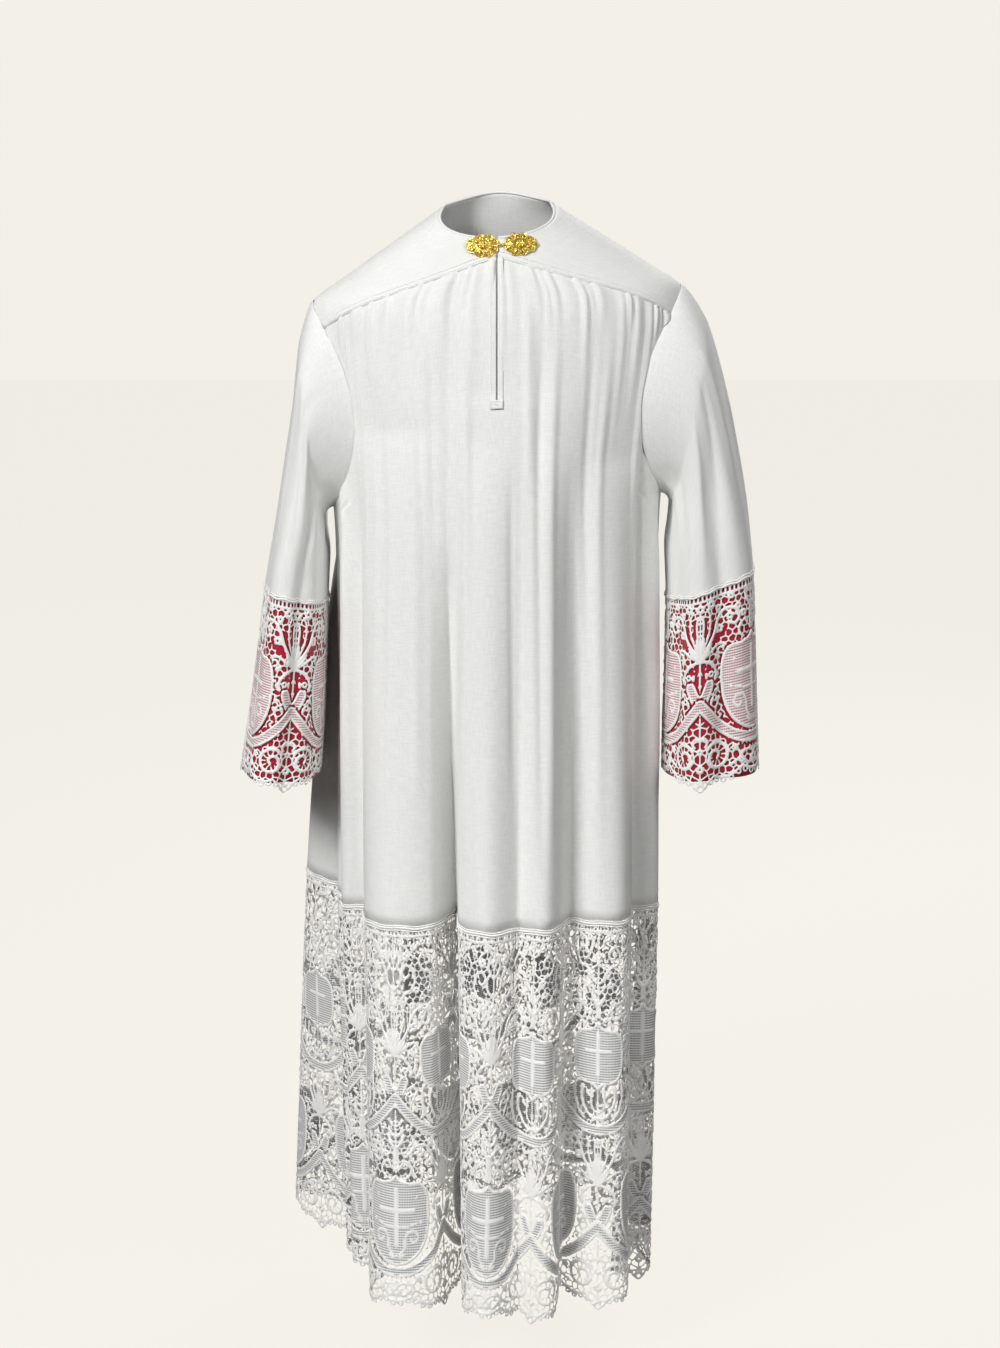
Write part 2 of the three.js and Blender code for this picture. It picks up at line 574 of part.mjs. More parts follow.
// A strip of lace with its gaps. rowAt(down, count) gives a row of places so far below the top, and down
// may vary along the row. first is the repeat's phase where the strip starts.
function laceStrip({ rowAt, tall, repeats, rows, first }) {
  const columns = repeats * LACE_BAND.columns;
  const cord = (down, raise) => rowAt(() => down, columns).map((place) => ({ ...place, raise }));
  const grid = [cord(0, CORD.high), cord(CORD.wide, 0)];
  const hang = LACE_BAND.lobe + LACE_BAND.hang;
  for (const down of laceHeights(tall, rows)) grid.push(rowAt(() => down, columns));
  const points = repeats * LACE_BAND.lobes * LACE_BAND.lobePoints;
  grid.push(rowAt((u) => tall - hang + lobes(first + u * repeats), points));
  const gapAt = (r, k) => {
    const fromHem = grid.length - 1 - r;
    const inRepeat = (k + Math.round(first * LACE_BAND.columns)) % LACE_BAND.columns;
    const middle = LACE_BAND.columns / 2;
    const side = inRepeat < middle ? -1 : 1;
    const column = side < 0 ? middle - inRepeat : inRepeat - middle + 1;
    const gap = r < 1 ? null : GAPS.find((one) => one.column === column && one.row === fromHem - 1);
    return gap && { ...gap, turn: gap.turn * side };
  };
  return wall(grid, LACE, { gapAt });
}

// The patch over the slit's end, made from the front panel's own places, moved out.
function slitTack() {
  const rows = [TACK.top, TACK.top - TACK.tall].map((z) => {
    const reach = THREE.MathUtils.radToDeg(TACK.wide / 2 / read(SECTIONS, "z", z, "half"));
    return row(-reach, reach, 2, () => z, () => TACK.clear + TACK.thick);
  });
  return wall(rows, TACK.thick);
}

function hemLace(centre) {
  const tall = LACE_TOP - HEM + LACE_BAND.lobe + LACE_BAND.hang;
  const edge = SIDE - SEAM_TURN;
  const rowAt = (down, count) => {
    const place = (turn) => (turn - centre + edge) / (2 * edge);
    return row(centre - edge, centre + edge, count, (turn) => LACE_TOP - SEAM / 2 - down(place(turn)));
  };
  return laceStrip({ rowAt, tall, ...HEM_BAND });
}

// A row of half a cuff, the front or the back, between the seams at its outer and inner lines.
function cuffRow(side, half, down, count) {
  const gap = SEAM / 4;
  const [from, to] = half === "front" ? [gap, 180 - gap] : [-180 + gap, -gap];
  const place = (angle) => (angle - from) / (to - from);
  return sleeveRow(side, from, to, count, (angle) => alongCuff(SEAM / 2 + down(place(angle))));
}

// A ring at one height of a cuff, with so many steps for each repeat of its lace.
function cuffRing(side, down, steps) {
  const count = CUFF_BAND.repeats * steps;
  const [back, front] = ["back", "front"].map((half) => cuffRow(side, half, () => down, count));
  return [...back.slice(0, -1), ...front].map((place, k) => ({ ...place, u: k / (2 * count) }));
}

function cuffLace(side, half) {
  const rowAt = (down, count) => cuffRow(side, half, down, count);
  const { length, repeats, rows, first } = CUFF_BAND;
  return laceStrip({ rowAt, tall: length, repeats, rows, first: first[half] });
}

// ---------------------------------------------------------------- clasp
// A geometry with its positions only, merged.
function bare(geometry) {
  geometry.deleteAttribute("normal");
  geometry.deleteAttribute("uv");
  return mergeVertices(geometry, 1e-4);
}

// One leaf plate of the clasp: a rippled egg shape, narrower away from the hook, with a domed middle.
function claspPlate() {
  const outline = new THREE.Shape();
  const steps = LEAVES.count * 4;
  for (let k = 0; k < steps; k += 1) {
    const a = (2 * Math.PI * k) / steps;
    const ripple = 1 + LEAVES.ripple * Math.cos(LEAVES.count * a);
    const narrow = 1 - LEAVES.narrow * Math.cos(a);
    const x = (CLASP.long / 2) * Math.cos(a) * ripple;
    const y = (CLASP.tall / 2) * Math.sin(a) * ripple * narrow;
    if (k === 0) outline.moveTo(x, y);
    else outline.lineTo(x, y);
  }
  const flat = new THREE.ExtrudeGeometry(outline, { depth: CLASP.thick, bevelEnabled: false });
  const boss = new THREE.SphereGeometry(1, 12, 6);
  boss.scale(BOSS.long, BOSS.tall, BOSS.high);
  boss.translate(0, 0, CLASP.thick);
  const below = new THREE.BoxGeometry(CLASP.long, CLASP.long, CLASP.long);
  below.translate(0, 0, -CLASP.long / 2);
  const plate = toSolid(bare(flat)).add(toSolid(bare(boss)));
  return toGeometry(plate.subtract(toSolid(bare(below))));
}

// The hook between the plates: a round link with two beads.
function claspHook() {
  const link = new THREE.CylinderGeometry(HOOK.radius, HOOK.radius, CLASP.apart - 4 * SEAM, 8);
  link.rotateZ(Math.PI / 2);
  const beads = [-1, 1].map((side) => {
    return new THREE.SphereGeometry(HOOK.bead, 8, 6).translate((side * HOOK.beadsApart) / 2, 0, 0);
  });
  return toGeometry(wasm.Manifold.union([link, ...beads].map((part) => toSolid(bare(part)))));
}

// Lays a piece on the gown, its own Z outwards, at a distance x to the wearer's left of centre.
function layOnGown(mesh, x, z, stand) {
  const turn = THREE.MathUtils.radToDeg(Math.asin(x / read(SECTIONS, "z", z, "half")));
  const out = gownNormal(turn, z);
  mesh.up.set(0, 0, 1);
  mesh.position.copy(gown(turn, z)).addScaledVector(out, stand);
  mesh.lookAt(mesh.position.clone().add(out));
}

// ---------------------------------------------------------------- the alb
const cloth = (color, roughness) => new THREE.MeshStandardMaterial({ color, roughness, metalness: 0 });
const LINEN_WHITE = cloth(0xf1f1ef, 0.85);
const LACE_WHITE = cloth(0xf4f3f0, 0.9);
const LINING_RED = cloth(0xb4102f, 0.7);
const GILT = new THREE.MeshStandardMaterial({ color: 0xd9b23c, roughness: 0.3, metalness: 1 });

const alb = new THREE.Group();
function piece(name, geometry, material) {
  const mesh = new THREE.Mesh(geometry, material);
  mesh.name = name;
  alb.add(mesh);
  return mesh;
}

const slitTall = NECK.back - SLIT.bottom;
const slitBox = new THREE.BoxGeometry(SLIT.width, slitTall, slitTall);
slitBox.translate(0, -slitTall / 2, SLIT.bottom + slitTall / 2);
const slitTurn = THREE.MathUtils.radToDeg(SLIT.width / 2 / SLIT.yokeDeep);

piece("yoke_front_left", cut(yoke(0, slitTurn, SIDE, GATHERS.count / 2), [slitBox]), LINEN_WHITE);
piece("yoke_front_right", cut(yoke(0, -SIDE, -slitTurn, GATHERS.count / 2), [slitBox]), LINEN_WHITE);
piece("yoke_back", yoke(180, -SIDE, SIDE, GATHERS.count), LINEN_WHITE);
piece("front_panel", cut(panel(0), [slitBox]), LINEN_WHITE);
piece("back_panel", panel(180), LINEN_WHITE);
piece("hem_lace_front", hemLace(0), LACE_WHITE);
piece("hem_lace_back", hemLace(180), LACE_WHITE);
for (const [name, side] of Object.entries({ left: 1, right: -1 })) {
  piece(`sleeve_${name}`, sleeveWall(side), LINEN_WHITE);
  piece(`cuff_lining_${name}`, liningWall(side), LINING_RED);
  piece(`cuff_lace_${name}_front`, cuffLace(side, "front"), LACE_WHITE);
  piece(`cuff_lace_${name}_back`, cuffLace(side, "back"), LACE_WHITE);
}

piece("slit_tack", slitTack(), LINEN_WHITE);

const plateOff = (CLASP.long + CLASP.apart) / 2;
layOnGown(piece("clasp_left", claspPlate(), GILT), CLASP.middle + plateOff, CLASP.z, CLASP.stand);
const rightPlate = claspPlate().rotateZ(Math.PI);
layOnGown(piece("clasp_right", rightPlate, GILT), CLASP.middle - plateOff, CLASP.z, CLASP.stand);
layOnGown(piece("clasp_hook", claspHook(), GILT), CLASP.middle, CLASP.z, HOOK.stand);

// A wall is made with its faces in or out by the way its rows run, so each is turned out here.
alb.traverse((o) => {
  if (o.isMesh) o.geometry = toGeometry(toSolid(o.geometry));
});

export default alb;
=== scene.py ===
"""A lace-trimmed alb: a long white linen gown in its worn form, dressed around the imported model.

The gown's form is a handful of formulas on two parameters, the angle round the body and the height, and
each piece of cloth is a grid laid on that form. The lace is a pattern of cords, brides and fine net,
worked out as distances on a flat grid, cut out by marching squares and laid on the draped form.

Sizes are millimetres and degrees until a mesh is made, and metres from there on.
"""

from __future__ import annotations

import logging
import math
from dataclasses import dataclass, field
from enum import Enum
from typing import Callable

import bpy
import numpy as np
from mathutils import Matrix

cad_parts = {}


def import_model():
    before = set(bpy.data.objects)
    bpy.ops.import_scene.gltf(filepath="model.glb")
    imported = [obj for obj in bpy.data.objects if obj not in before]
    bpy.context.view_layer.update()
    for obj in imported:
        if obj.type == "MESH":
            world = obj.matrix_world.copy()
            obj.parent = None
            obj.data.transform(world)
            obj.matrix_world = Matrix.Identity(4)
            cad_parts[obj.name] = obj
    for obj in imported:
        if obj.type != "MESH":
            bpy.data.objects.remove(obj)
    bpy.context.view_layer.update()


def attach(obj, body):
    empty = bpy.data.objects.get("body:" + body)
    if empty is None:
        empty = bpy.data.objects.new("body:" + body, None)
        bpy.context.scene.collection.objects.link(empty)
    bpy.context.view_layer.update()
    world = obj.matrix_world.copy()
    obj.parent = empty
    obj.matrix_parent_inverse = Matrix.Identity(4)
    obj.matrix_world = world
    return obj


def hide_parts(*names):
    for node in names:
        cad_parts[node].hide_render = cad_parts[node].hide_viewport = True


LOG = logging.getLogger("alb")
Array = np.ndarray
MM = 0.001  # metres in a millimetre
UP = (0.0, 0.0, 1.0)
ROOT = "root"
FINE_STEPS = 720  # how finely a row of cloth is measured


# ------------------------------------------------------------------ small formulas
def ease(t: Array) -> Array:
    """A soft step: 3t^2 - 2t^3 between 0 and 1."""
    t = np.clip(t, 0.0, 1.0)
    return t * t * (3.0 - 2.0 * t)


def mix(a: Array, b: Array, t: Array) -> Array:
    """The place a share t of the way from a to b."""
    return a + (b - a) * t


def apart(a: Array, b: Array) -> Array:
    """The shortest way from angle b to angle a, in degrees."""
    return (a - b + 180.0) % 360.0 - 180.0


def crest(distance: Array, half: Array, square: float = 1.0) -> Array:
    """A fold's section: a raised cosine to the power square, 0 at half its width to each side."""
    u = np.minimum(np.abs(distance) / half, 1.0)
    return (0.5 + 0.5 * np.cos(np.pi * u)) ** square


def half_round(off: Array, half: Array) -> Array:
    """A half-round section: sqrt(1 - (off / half)^2), and 0 past half."""
    return np.sqrt(np.clip(1.0 - (off / half) ** 2, 0.0, 1.0))


def read(keys: Array, values: Array, at: Array) -> Array:
    """A column of a table on a smooth curve through its rows.

    Formula: a cubic through each pair of rows, whose slope at a row is the slope between its neighbours.

    Args:
        keys: the rows' keys, rising or falling.
        values: the rows' values.
        at: where to read.

    Returns:
        The values there; past an end, the end's own.
    """
    keys, values = np.asarray(keys, float), np.asarray(values, float)
    if keys[0] > keys[-1]:
        keys, values = keys[::-1], values[::-1]
    slopes = np.empty_like(keys)
    slopes[1:-1] = (values[2:] - values[:-2]) / (keys[2:] - keys[:-2])
    slopes[[0, -1]] = (values[[1, -1]] - values[[0, -2]]) / (keys[[1, -1]] - keys[[0, -2]])
    i = np.clip(np.searchsorted(keys, at, side="right") - 1, 0, len(keys) - 2)
    span = keys[i + 1] - keys[i]
    t = np.clip((at - keys[i]) / span, 0.0, 1.0)
    t2, t3 = t * t, t * t * t
    rise = (2 * t3 - 3 * t2 + 1) * values[i] + (3 * t2 - 2 * t3) * values[i + 1]
    return rise + ((t3 - 2 * t2 + t) * slopes[i] + (t3 - t2) * slopes[i + 1]) * span


def column(rows: tuple, name: str) -> Array:
    """One named column of a table of dataclass rows."""
    return np.array([getattr(row, name) for row in rows], float)


def smooth_path(points: Array, steps: int) -> Array:
    """A smooth line through given points.

    Formula: each coordinate is read on a smooth curve by the number of the point.

    Args:
        points: the points, one a row.
        steps: how many steps the line has.

    Returns:
        steps + 1 points on the line.
    """
    points = np.asarray(points, float)
    at = np.linspace(0, len(points) - 1, steps + 1)
    return np.stack([read(np.arange(len(points)), points[:, k], at) for k in range(points.shape[1])], axis=1)


def unit(vectors: Array) -> Array:
    """Vectors at length 1."""
    return vectors / np.maximum(np.linalg.norm(vectors, axis=-1, keepdims=True), 1e-12)


def even_steps(point: Callable[[Array], Array], start: Array, end: Array, shares: Array) -> Array:
    """A parameter at even steps along each of many rows of cloth.

    Formula: the length along a row is summed over fine steps, and the parameter is read back at each
    share of the whole.

    Args:
        point: gives places for an array of parameters, one row of cloth a row.
        start: the parameter where each row starts.
        end: the parameter where each row ends.
        shares: the wanted shares of each row's length.

    Returns:
        The parameters, one row of cloth a row.
    """
    fine = np.linspace(0.0, 1.0, FINE_STEPS + 1)
    turns = mix(start[:, None], end[:, None], fine[None, :])
    places = point(turns)
    along = np.cumsum(np.linalg.norm(np.diff(places, axis=1), axis=2), axis=1)
    along = np.concatenate([np.zeros((len(start), 1)), along], axis=1)
    along /= along[:, -1:]
    return np.stack([np.interp(shares, row, turn) for row, turn in zip(along, turns)])


# ------------------------------------------------------------------ the gown's form
@dataclass(frozen=True)
class Section:
    """One level section of the gown: half its width, and how far it stands forward and back."""

    z: float
    half: float
    front: float
    back: float


@dataclass(frozen=True)
class Fold:
    """A large fold that grows from the yoke to the hem, at an angle round the body."""

    at: float
    half: float
    deep: float
    start: float
    square: float
    grow: float


@dataclass(frozen=True)
class Crease:
    """A soft ridge, or a trough where deep is negative, that runs down the cloth and drifts round it."""

    at: float
    half: float
    deep: float
    top: float
    low: float
    drift: float = 0.0


SECTIONS = (
    Section(40, 42, 52, 58),
    Section(12, 72, 62, 66),
    Section(0, 90, 65, 69),
    Section(-36, 145, 76, 78),
    Section(-70, 196, 89, 89),
    Section(-105, 246, 100, 99),
    Section(-140, 254, 110, 107),
    Section(-200, 249, 121, 115),
    Section(-260, 240, 129, 121),
    Section(-385, 224, 138, 129),
    Section(-500, 221, 140, 132),
    Section(-700, 219, 141, 135),
    Section(-945, 214, 143, 141),
    Section(-1200, 203, 151, 154),
    Section(-1540, 188, 166, 176),
)

FOLDS = (
    Fold(4, 25, 44, -230, 0.4, 0.66),
    Fold(-4, 11.5, 42, -300, 0.6, 0.7),
    Fold(-17.5, 4.8, -84, -430, 0.8, 0.8),
    Fold(-36, 18.5, 80, -280, 0.3, 0.68),
    Fold(-67, 10, 34, -340, 0.7, 0.8),
    Fold(16, 9, 42, -300, 0.6, 0.7),
    Fold(42, 14.5, 74, -330, 0.45, 0.72),
    Fold(68, 12.5, 46, -300, 0.7, 0.85),
    Fold(92, 12, 34, -640, 0.9, 0.9),
    Fold(-86, 10, 30, -640, 0.9, 0.9),
    Fold(-117, 20, 154, -420, 0.8, 0.55),
    Fold(119, 13, 50, -300, 0.8, 0.85),
    Fold(144, 12.5, 54, -240, 0.8, 0.75),
    Fold(168, 11, 48, -220, 0.8, 0.75),
    Fold(-147, 10.5, 46, -260, 0.8, 0.8),
    Fold(-170, 11.5, 54, -210, 0.8, 0.75),
)

# The finer creases of front and back: angle, half width, depth, top and low end, and drift in degrees.
CREASES = (
    Crease(-9.5, 2.6, 3.4, -96, -930, -1.5),
    Crease(-15.5, 3.0, -3.0, -120, -760, 1.5),
    Crease(-22.0, 2.2, 2.2, -110, -420, -2.0),
    Crease(-28.5, 3.2, 2.6, -150, -880, 2.5),
    Crease(-41.0, 3.4, -2.8, -190, -700, 2.0),
    Crease(-47.5, 2.6, 2.4, -130, -520, -1.0),
    Crease(-66.0, 4.0, 3.2, -260, -900, 3.0),
    Crease(-74.0, 3.2, -2.6, -420, -930, -2.0),
    Crease(4.5, 2.0, -2.4, -300, -820, 1.0),
    Crease(9.0, 2.4, 2.6, -92, -380, 1.5),
    Crease(13.5, 2.2, -4.2, -100, -930, 0.5),
    Crease(18.0, 2.6, 3.4, -94, -900, -1.0),
    Crease(30.0, 2.4, -2.6, -130, -640, 2.0),
    Crease(36.5, 2.8, 2.8, -120, -930, -2.0),
    Crease(52.0, 3.2, 2.6, -160, -560, 3.0),
    Crease(57.5, 2.8, -3.0, -240, -930, 0.0),
    Crease(73.0, 3.6, 3.0, -380, -880, 2.0),
    Crease(82.0, 3.4, -2.4, -520, -930, -1.0),
    Crease(104.0, 3.6, 3.0, -420, -930, 2.0),
    Crease(111.0, 3.0, -2.8, -300, -760, -1.5),
    Crease(130.0, 3.0, 2.8, -180, -900, 1.0),
    Crease(136.5, 2.4, -2.6, -170, -480, 2.0),
    Crease(152.0, 3.0, 3.0, -160, -700, -2.0),
    Crease(158.0, 3.4, -3.0, -210, -930, 1.0),
    Crease(164.5, 2.4, 2.6, -150, -430, 0.0),
    Crease(179.5, 2.8, 2.6, -160, -860, 2.5),
    Crease(187.5, 2.6, -2.8, -170, -620, -1.0),
    Crease(193.0, 2.8, 2.8, -150, -930, 1.5),
    Crease(207.0, 3.0, -2.4, -180, -540, 2.0),
    Crease(214.5, 3.0, 3.2, -170, -900, -2.0),
    Crease(229.0, 3.2, 2.6, -260, -800, 1.0),
    Crease(240.0, 3.8, -3.0, -420, -930, 0.0),
    Crease(256.0, 3.4, 3.0, -460, -930, -2.0),
)


@dataclass(frozen=True)
class YokeSeam:
    """The bow of a yoke's lower seam: its height at the centre and at the armhole."""

    centre: float
    end: float
    curve: float


@dataclass(frozen=True)
class GownForm:
    """The outer face of the gown, as a function of the angle round the body and the height."""

    sections: tuple[Section, ...] = SECTIONS
    large: tuple[Fold, ...] = FOLDS
    fine: tuple[Crease, ...] = CREASES
    front_seam: YokeSeam = YokeSeam(-56, -140, 1.15)
    back_seam: YokeSeam = YokeSeam(-126, -140, 1.6)
    seam_reach: float = 64.0
    neck_front: float = -31.0
    neck_side: float = 12.0
    neck_back: float = 26.0
    armhole_top: float = -105.0
    armhole_bottom: float = -385.0
    armhole_degrees: float = 38.0
    lean_slope: float = 0.043
    lean_from: float = -560.0
    lean_to: float = -880.0
    lace_top: float = -945.0
    hem: float = -1466.0
    slit_bottom: float = -244.0
    seam: float = 0.3
    seam_turn: float = 0.035
    crease_rise: float = 0.22  # the shares of a crease's run over which it rises and falls
    crease_fall: float = 0.3
    turn_step: float = 0.5  # how far from a point its tangents are taken
    z_step: float = 1.5
    edge_rounds: int = 60  # halvings of the way to the armhole's edge

    def is_front(self, turn: Array) -> Array:
        """Whether an angle lies on the front half."""
        return np.abs(apart(turn, 0.0)) <= 90.0

    def bow(self, seam: YokeSeam, turn: Array) -> Array:
        """A yoke seam's height: it falls from its centre with a power of the angle."""
        share = np.minimum(np.abs(turn) / self.seam_reach, 1.0) ** seam.curve
        return mix(seam.centre, seam.end, share)

    def yoke_seam(self, turn: Array) -> Array:
        """The yoke seam's height at an angle."""
        front = self.bow(self.front_seam, apart(turn, 0.0))
        back = self.bow(self.back_seam, apart(turn, 180.0))
        return np.where(self.is_front(turn), front, back)

    def neck_edge(self, turn: Array) -> Array:
        """The neck edge's height: it rises to the side with the square of the angle's sine."""
        ends = np.where(self.is_front(turn), self.neck_front, self.neck_back)
        return mix(ends, self.neck_side, np.sin(np.radians(turn)) ** 2)

    def lean(self, x: Array, z: Array) -> Array:
        """How much higher the gown hangs at x: a slope that fades out down to the hips."""
        fade = 1.0 - ease((self.lean_from - z) / (self.lean_from - self.lean_to))
        return self.lean_slope * x * fade

    def stands_out(self, turn: Array, z: Array) -> Array:
        """How far the large folds stand out: each grows with a power of the way from its start."""
        out = np.zeros(np.broadcast(turn, z).shape)
        for fold in self.large:
            grown = np.clip((fold.start - z) / (fold.start - self.hem), 0.0, None) ** fold.grow
            out = out + fold.deep * grown * crest(apart(turn, fold.at), fold.half, fold.square)
        return out

    def creased(self, turn: Array, z: Array) -> Array:
        """The height of the finer creases, each fading in and out along its run and drifting round."""
        out = np.zeros(np.broadcast(turn, z).shape)
        for one in self.fine:
            run = (one.top - z) / (one.top - one.low)
            fade = ease(run / self.crease_rise) * ease((1.0 - run) / self.crease_fall)
            middle = one.at + one.drift * np.clip(run, 0.0, 1.0)
            out = out + one.deep * fade * crest(apart(turn, middle), one.half)
        return out

    def point(self, turn: Array, z: Array) -> Array:
        """A point of the outer face.

        Formula: an ellipse through the section's half width and depth, moved out along its own normal
        by the large folds, then raised by the lean.

        Args:
            turn: the angle round the body from centre front, positive to the wearer's left.
            z: the height.

        Returns:
            The places, with x, y and z last.
        """
        turn, z = np.broadcast_arrays(np.asarray(turn, float), np.asarray(z, float))
        a = np.radians(turn)
        keys = column(self.sections, "z")
        half = read(keys, column(self.sections, "half"), z)
        front, back = (read(keys, column(self.sections, side), z) for side in ("front", "back"))
        deep = np.where(self.is_front(turn), front, back)
        out = self.stands_out(turn, z)
        nx, ny = np.sin(a) / half, -np.cos(a) / deep
        length = np.hypot(nx, ny)
        x = half * np.sin(a) + out * nx / length
        y = -deep * np.cos(a) + out * ny / length
        return np.stack([x, y, z + self.lean(x, z)], axis=-1)

    def normal(self, turn: Array, z: Array) -> Array:
        """The outward normal, square to the tangents round the body and up it."""
        around = self.point(turn + self.turn_step, z) - self.point(turn - self.turn_step, z)
        up = self.point(turn, z + self.z_step) - self.point(turn, z - self.z_step)
        return unit(np.cross(around, up))

    def armhole_reach(self, z: Array) -> Array:
        """How many degrees the armhole cuts in from the side: half an ellipse over its height."""
        middle = (self.armhole_top + self.armhole_bottom) / 2
        u = (z - middle) / ((self.armhole_top - self.armhole_bottom) / 2)
        return self.armhole_degrees * np.sqrt(np.clip(1.0 - u * u, 0.0, 1.0))

    def panel_edge(self, centre: float, side: int, height: Callable[[Array], Array], rows: int) -> Array:
        """How far each row of a panel reaches from its centre, in degrees, to the armhole or side.

        Args:
            centre: the panel's centre, 0 or 180.
            side: 1 or -1, towards rising or falling angles.
            height: gives each row's height for an array of angles, one a row.
            rows: how many rows there are.

        Returns:
            One angle a row, found by settling on the armhole's edge.
        """
        turn = np.full(rows, self.seam_reach)
        for _ in range(self.edge_rounds):
            reach = self.armhole_reach(height((centre + side * turn)[:, None])[:, 0])
            turn = mix(turn, 90.0 - reach, 0.5)
        return turn - self.seam_turn


# ------------------------------------------------------------------ the sleeves' form
@dataclass(frozen=True)
class SleeveRow:
    """One ring of a sleeve: its outer and inner line seen from the front, depth and set-back."""

    t: float
    out_x: float
    out_z: float
    in_x: float
    in_z: float
    deep: float
    y: float


@dataclass(frozen=True)
class SleeveFold:
    """A soft fold along a sleeve, at an angle from its outer line, positive to the front."""

    at: float
    half: float
    deep: float
    start: float
    end: float
    drift: float = 0.0


class Side(Enum):
    """The wearer's left and right, with the sign of x."""

    LEFT = 1
    RIGHT = -1

    @property
    def word(self) -> str:
        """The side's name in the names of pieces."""
        return self.name.lower()


SLEEVE_LEFT = (
    SleeveRow(0, 246, -105, 226, -385, 88, 2),
    SleeveRow(0.06, 264, -119, 236, -389, 88, 2),
    SleeveRow(0.15, 284, -156, 236, -400, 89, 2),
    SleeveRow(0.3, 305, -222, 234, -423, 90, 1),
    SleeveRow(0.5, 324, -306, 230, -452, 90, -2),
    SleeveRow(0.75, 340, -400, 231, -490, 89, -8),
    SleeveRow(1, 351, -490, 232, -525, 87, -14),
    SleeveRow(1.5, 357, -625, 230, -645, 87, -22),
    SleeveRow(2, 364, -762, 228, -768, 88, -30),
)
SLEEVE_RIGHT = (
    SleeveRow(0, 246, -105, 226, -385, 88, 2),
    SleeveRow(0.06, 257, -121, 236, -389, 88, 2),
    SleeveRow(0.15, 267, -160, 236, -400, 91, 2),
    SleeveRow(0.3, 276, -228, 234, -421, 94, 1),
    SleeveRow(0.5, 289, -310, 230, -446, 96, -2),
    SleeveRow(0.75, 303, -398, 231, -478, 96, -8),
    SleeveRow(1, 318, -484, 232, -508, 94, -14),
    SleeveRow(1.5, 336, -617, 237, -636, 93, -22),
    SleeveRow(2, 357, -752, 245, -765, 93, -30),
)
SLEEVE_FOLDS = {
    Side.LEFT: (
        SleeveFold(78, 26, -13, 0.12, 2.6),
        SleeveFold(118, 24, 7, 0.2, 2.6),
        SleeveFold(38, 24, 5, 0.5, 2.6),
        SleeveFold(-75, 32, -9, 0.3, 2.6),
        SleeveFold(-130, 30, 6, 0.4, 2.6),
        SleeveFold(20, 22, -5, -0.1, 0.8),
    ),
    Side.RIGHT: (
        SleeveFold(108, 24, -9, 0.12, 2.6),
        SleeveFold(62, 30, 6, 0.4, 2.6),
        SleeveFold(-70, 30, -8, 0.3, 2.6),
        SleeveFold(-120, 28, 6, 0.4, 2.6),
        SleeveFold(26, 22, -5, -0.1, 0.8),
    ),
}
# The finer creases of each sleeve, which fan out from the shoulder and the underarm.
SLEEVE_CREASES = {
    Side.LEFT: (
        SleeveFold(52, 9, 2.4, 0.05, 0.75, -14),
        SleeveFold(66, 7, -2.2, 0.08, 0.9, 6),
        SleeveFold(92, 8, 2.8, 0.1, 1.0, 12),
        SleeveFold(134, 9, -2.6, 0.06, 0.8, -16),
        SleeveFold(150, 8, 2.6, 0.04, 0.55, -22),
        SleeveFold(168, 10, -2.4, 0.05, 0.7, -12),
        SleeveFold(10, 9, 2.0, 0.3, 1.0, 8),
        SleeveFold(-30, 10, -2.2, 0.1, 0.9, 10),
        SleeveFold(-52, 8, 2.6, 0.06, 0.7, 12),
        SleeveFold(-98, 9, 2.6, 0.1, 1.0, -8),
        SleeveFold(-148, 9, -2.4, 0.05, 0.75, 14),
    ),
    Side.RIGHT: (
        SleeveFold(46, 9, 2.2, 0.08, 0.95, -10),
        SleeveFold(74, 8, -2.6, 0.06, 0.8, 10),
        SleeveFold(90, 7, 2.4, 0.1, 0.85, 8),
        SleeveFold(128, 9, 2.8, 0.05, 0.9, -14),
        SleeveFold(146, 8, -2.4, 0.04, 0.6, -20),
        SleeveFold(164, 9, 2.6, 0.05, 0.5, -18),
        SleeveFold(6, 10, -2.0, 0.25, 0.95, 8),
        SleeveFold(-34, 9, 2.2, 0.08, 0.8, -10),
        SleeveFold(-90, 9, -2.6, 0.1, 1.0, 10),
        SleeveFold(-140, 9, 2.6, 0.05, 0.7, 16),
    ),
}


@dataclass(frozen=True)
class HeadGathers:
    """The small gathers at a sleeve's head: about which angle, how far round and down, and how deep."""

    at: float = 8.0
    half: float = 74.0
    square: float = 0.7
    start: float = 0.012
    end: float = 0.2
    deep: float = 3.0
    pitch: float = 9.0
    uneven: float = 0.8
    sway: float = 5.0

    def height(self, angle: Array, t: Array) -> Array:
        """How far the cloth stands out: |sin| of the angle, fading out to the sides and down."""
        reach = crest(angle - self.at, self.half, self.square)
        reach = reach * (1.0 - ease(t / self.end)) * ease(t / self.start)
        a = np.radians(angle)
        return self.deep * reach * np.abs(np.sin(a * self.pitch + self.uneven * np.sin(a * self.sway)))


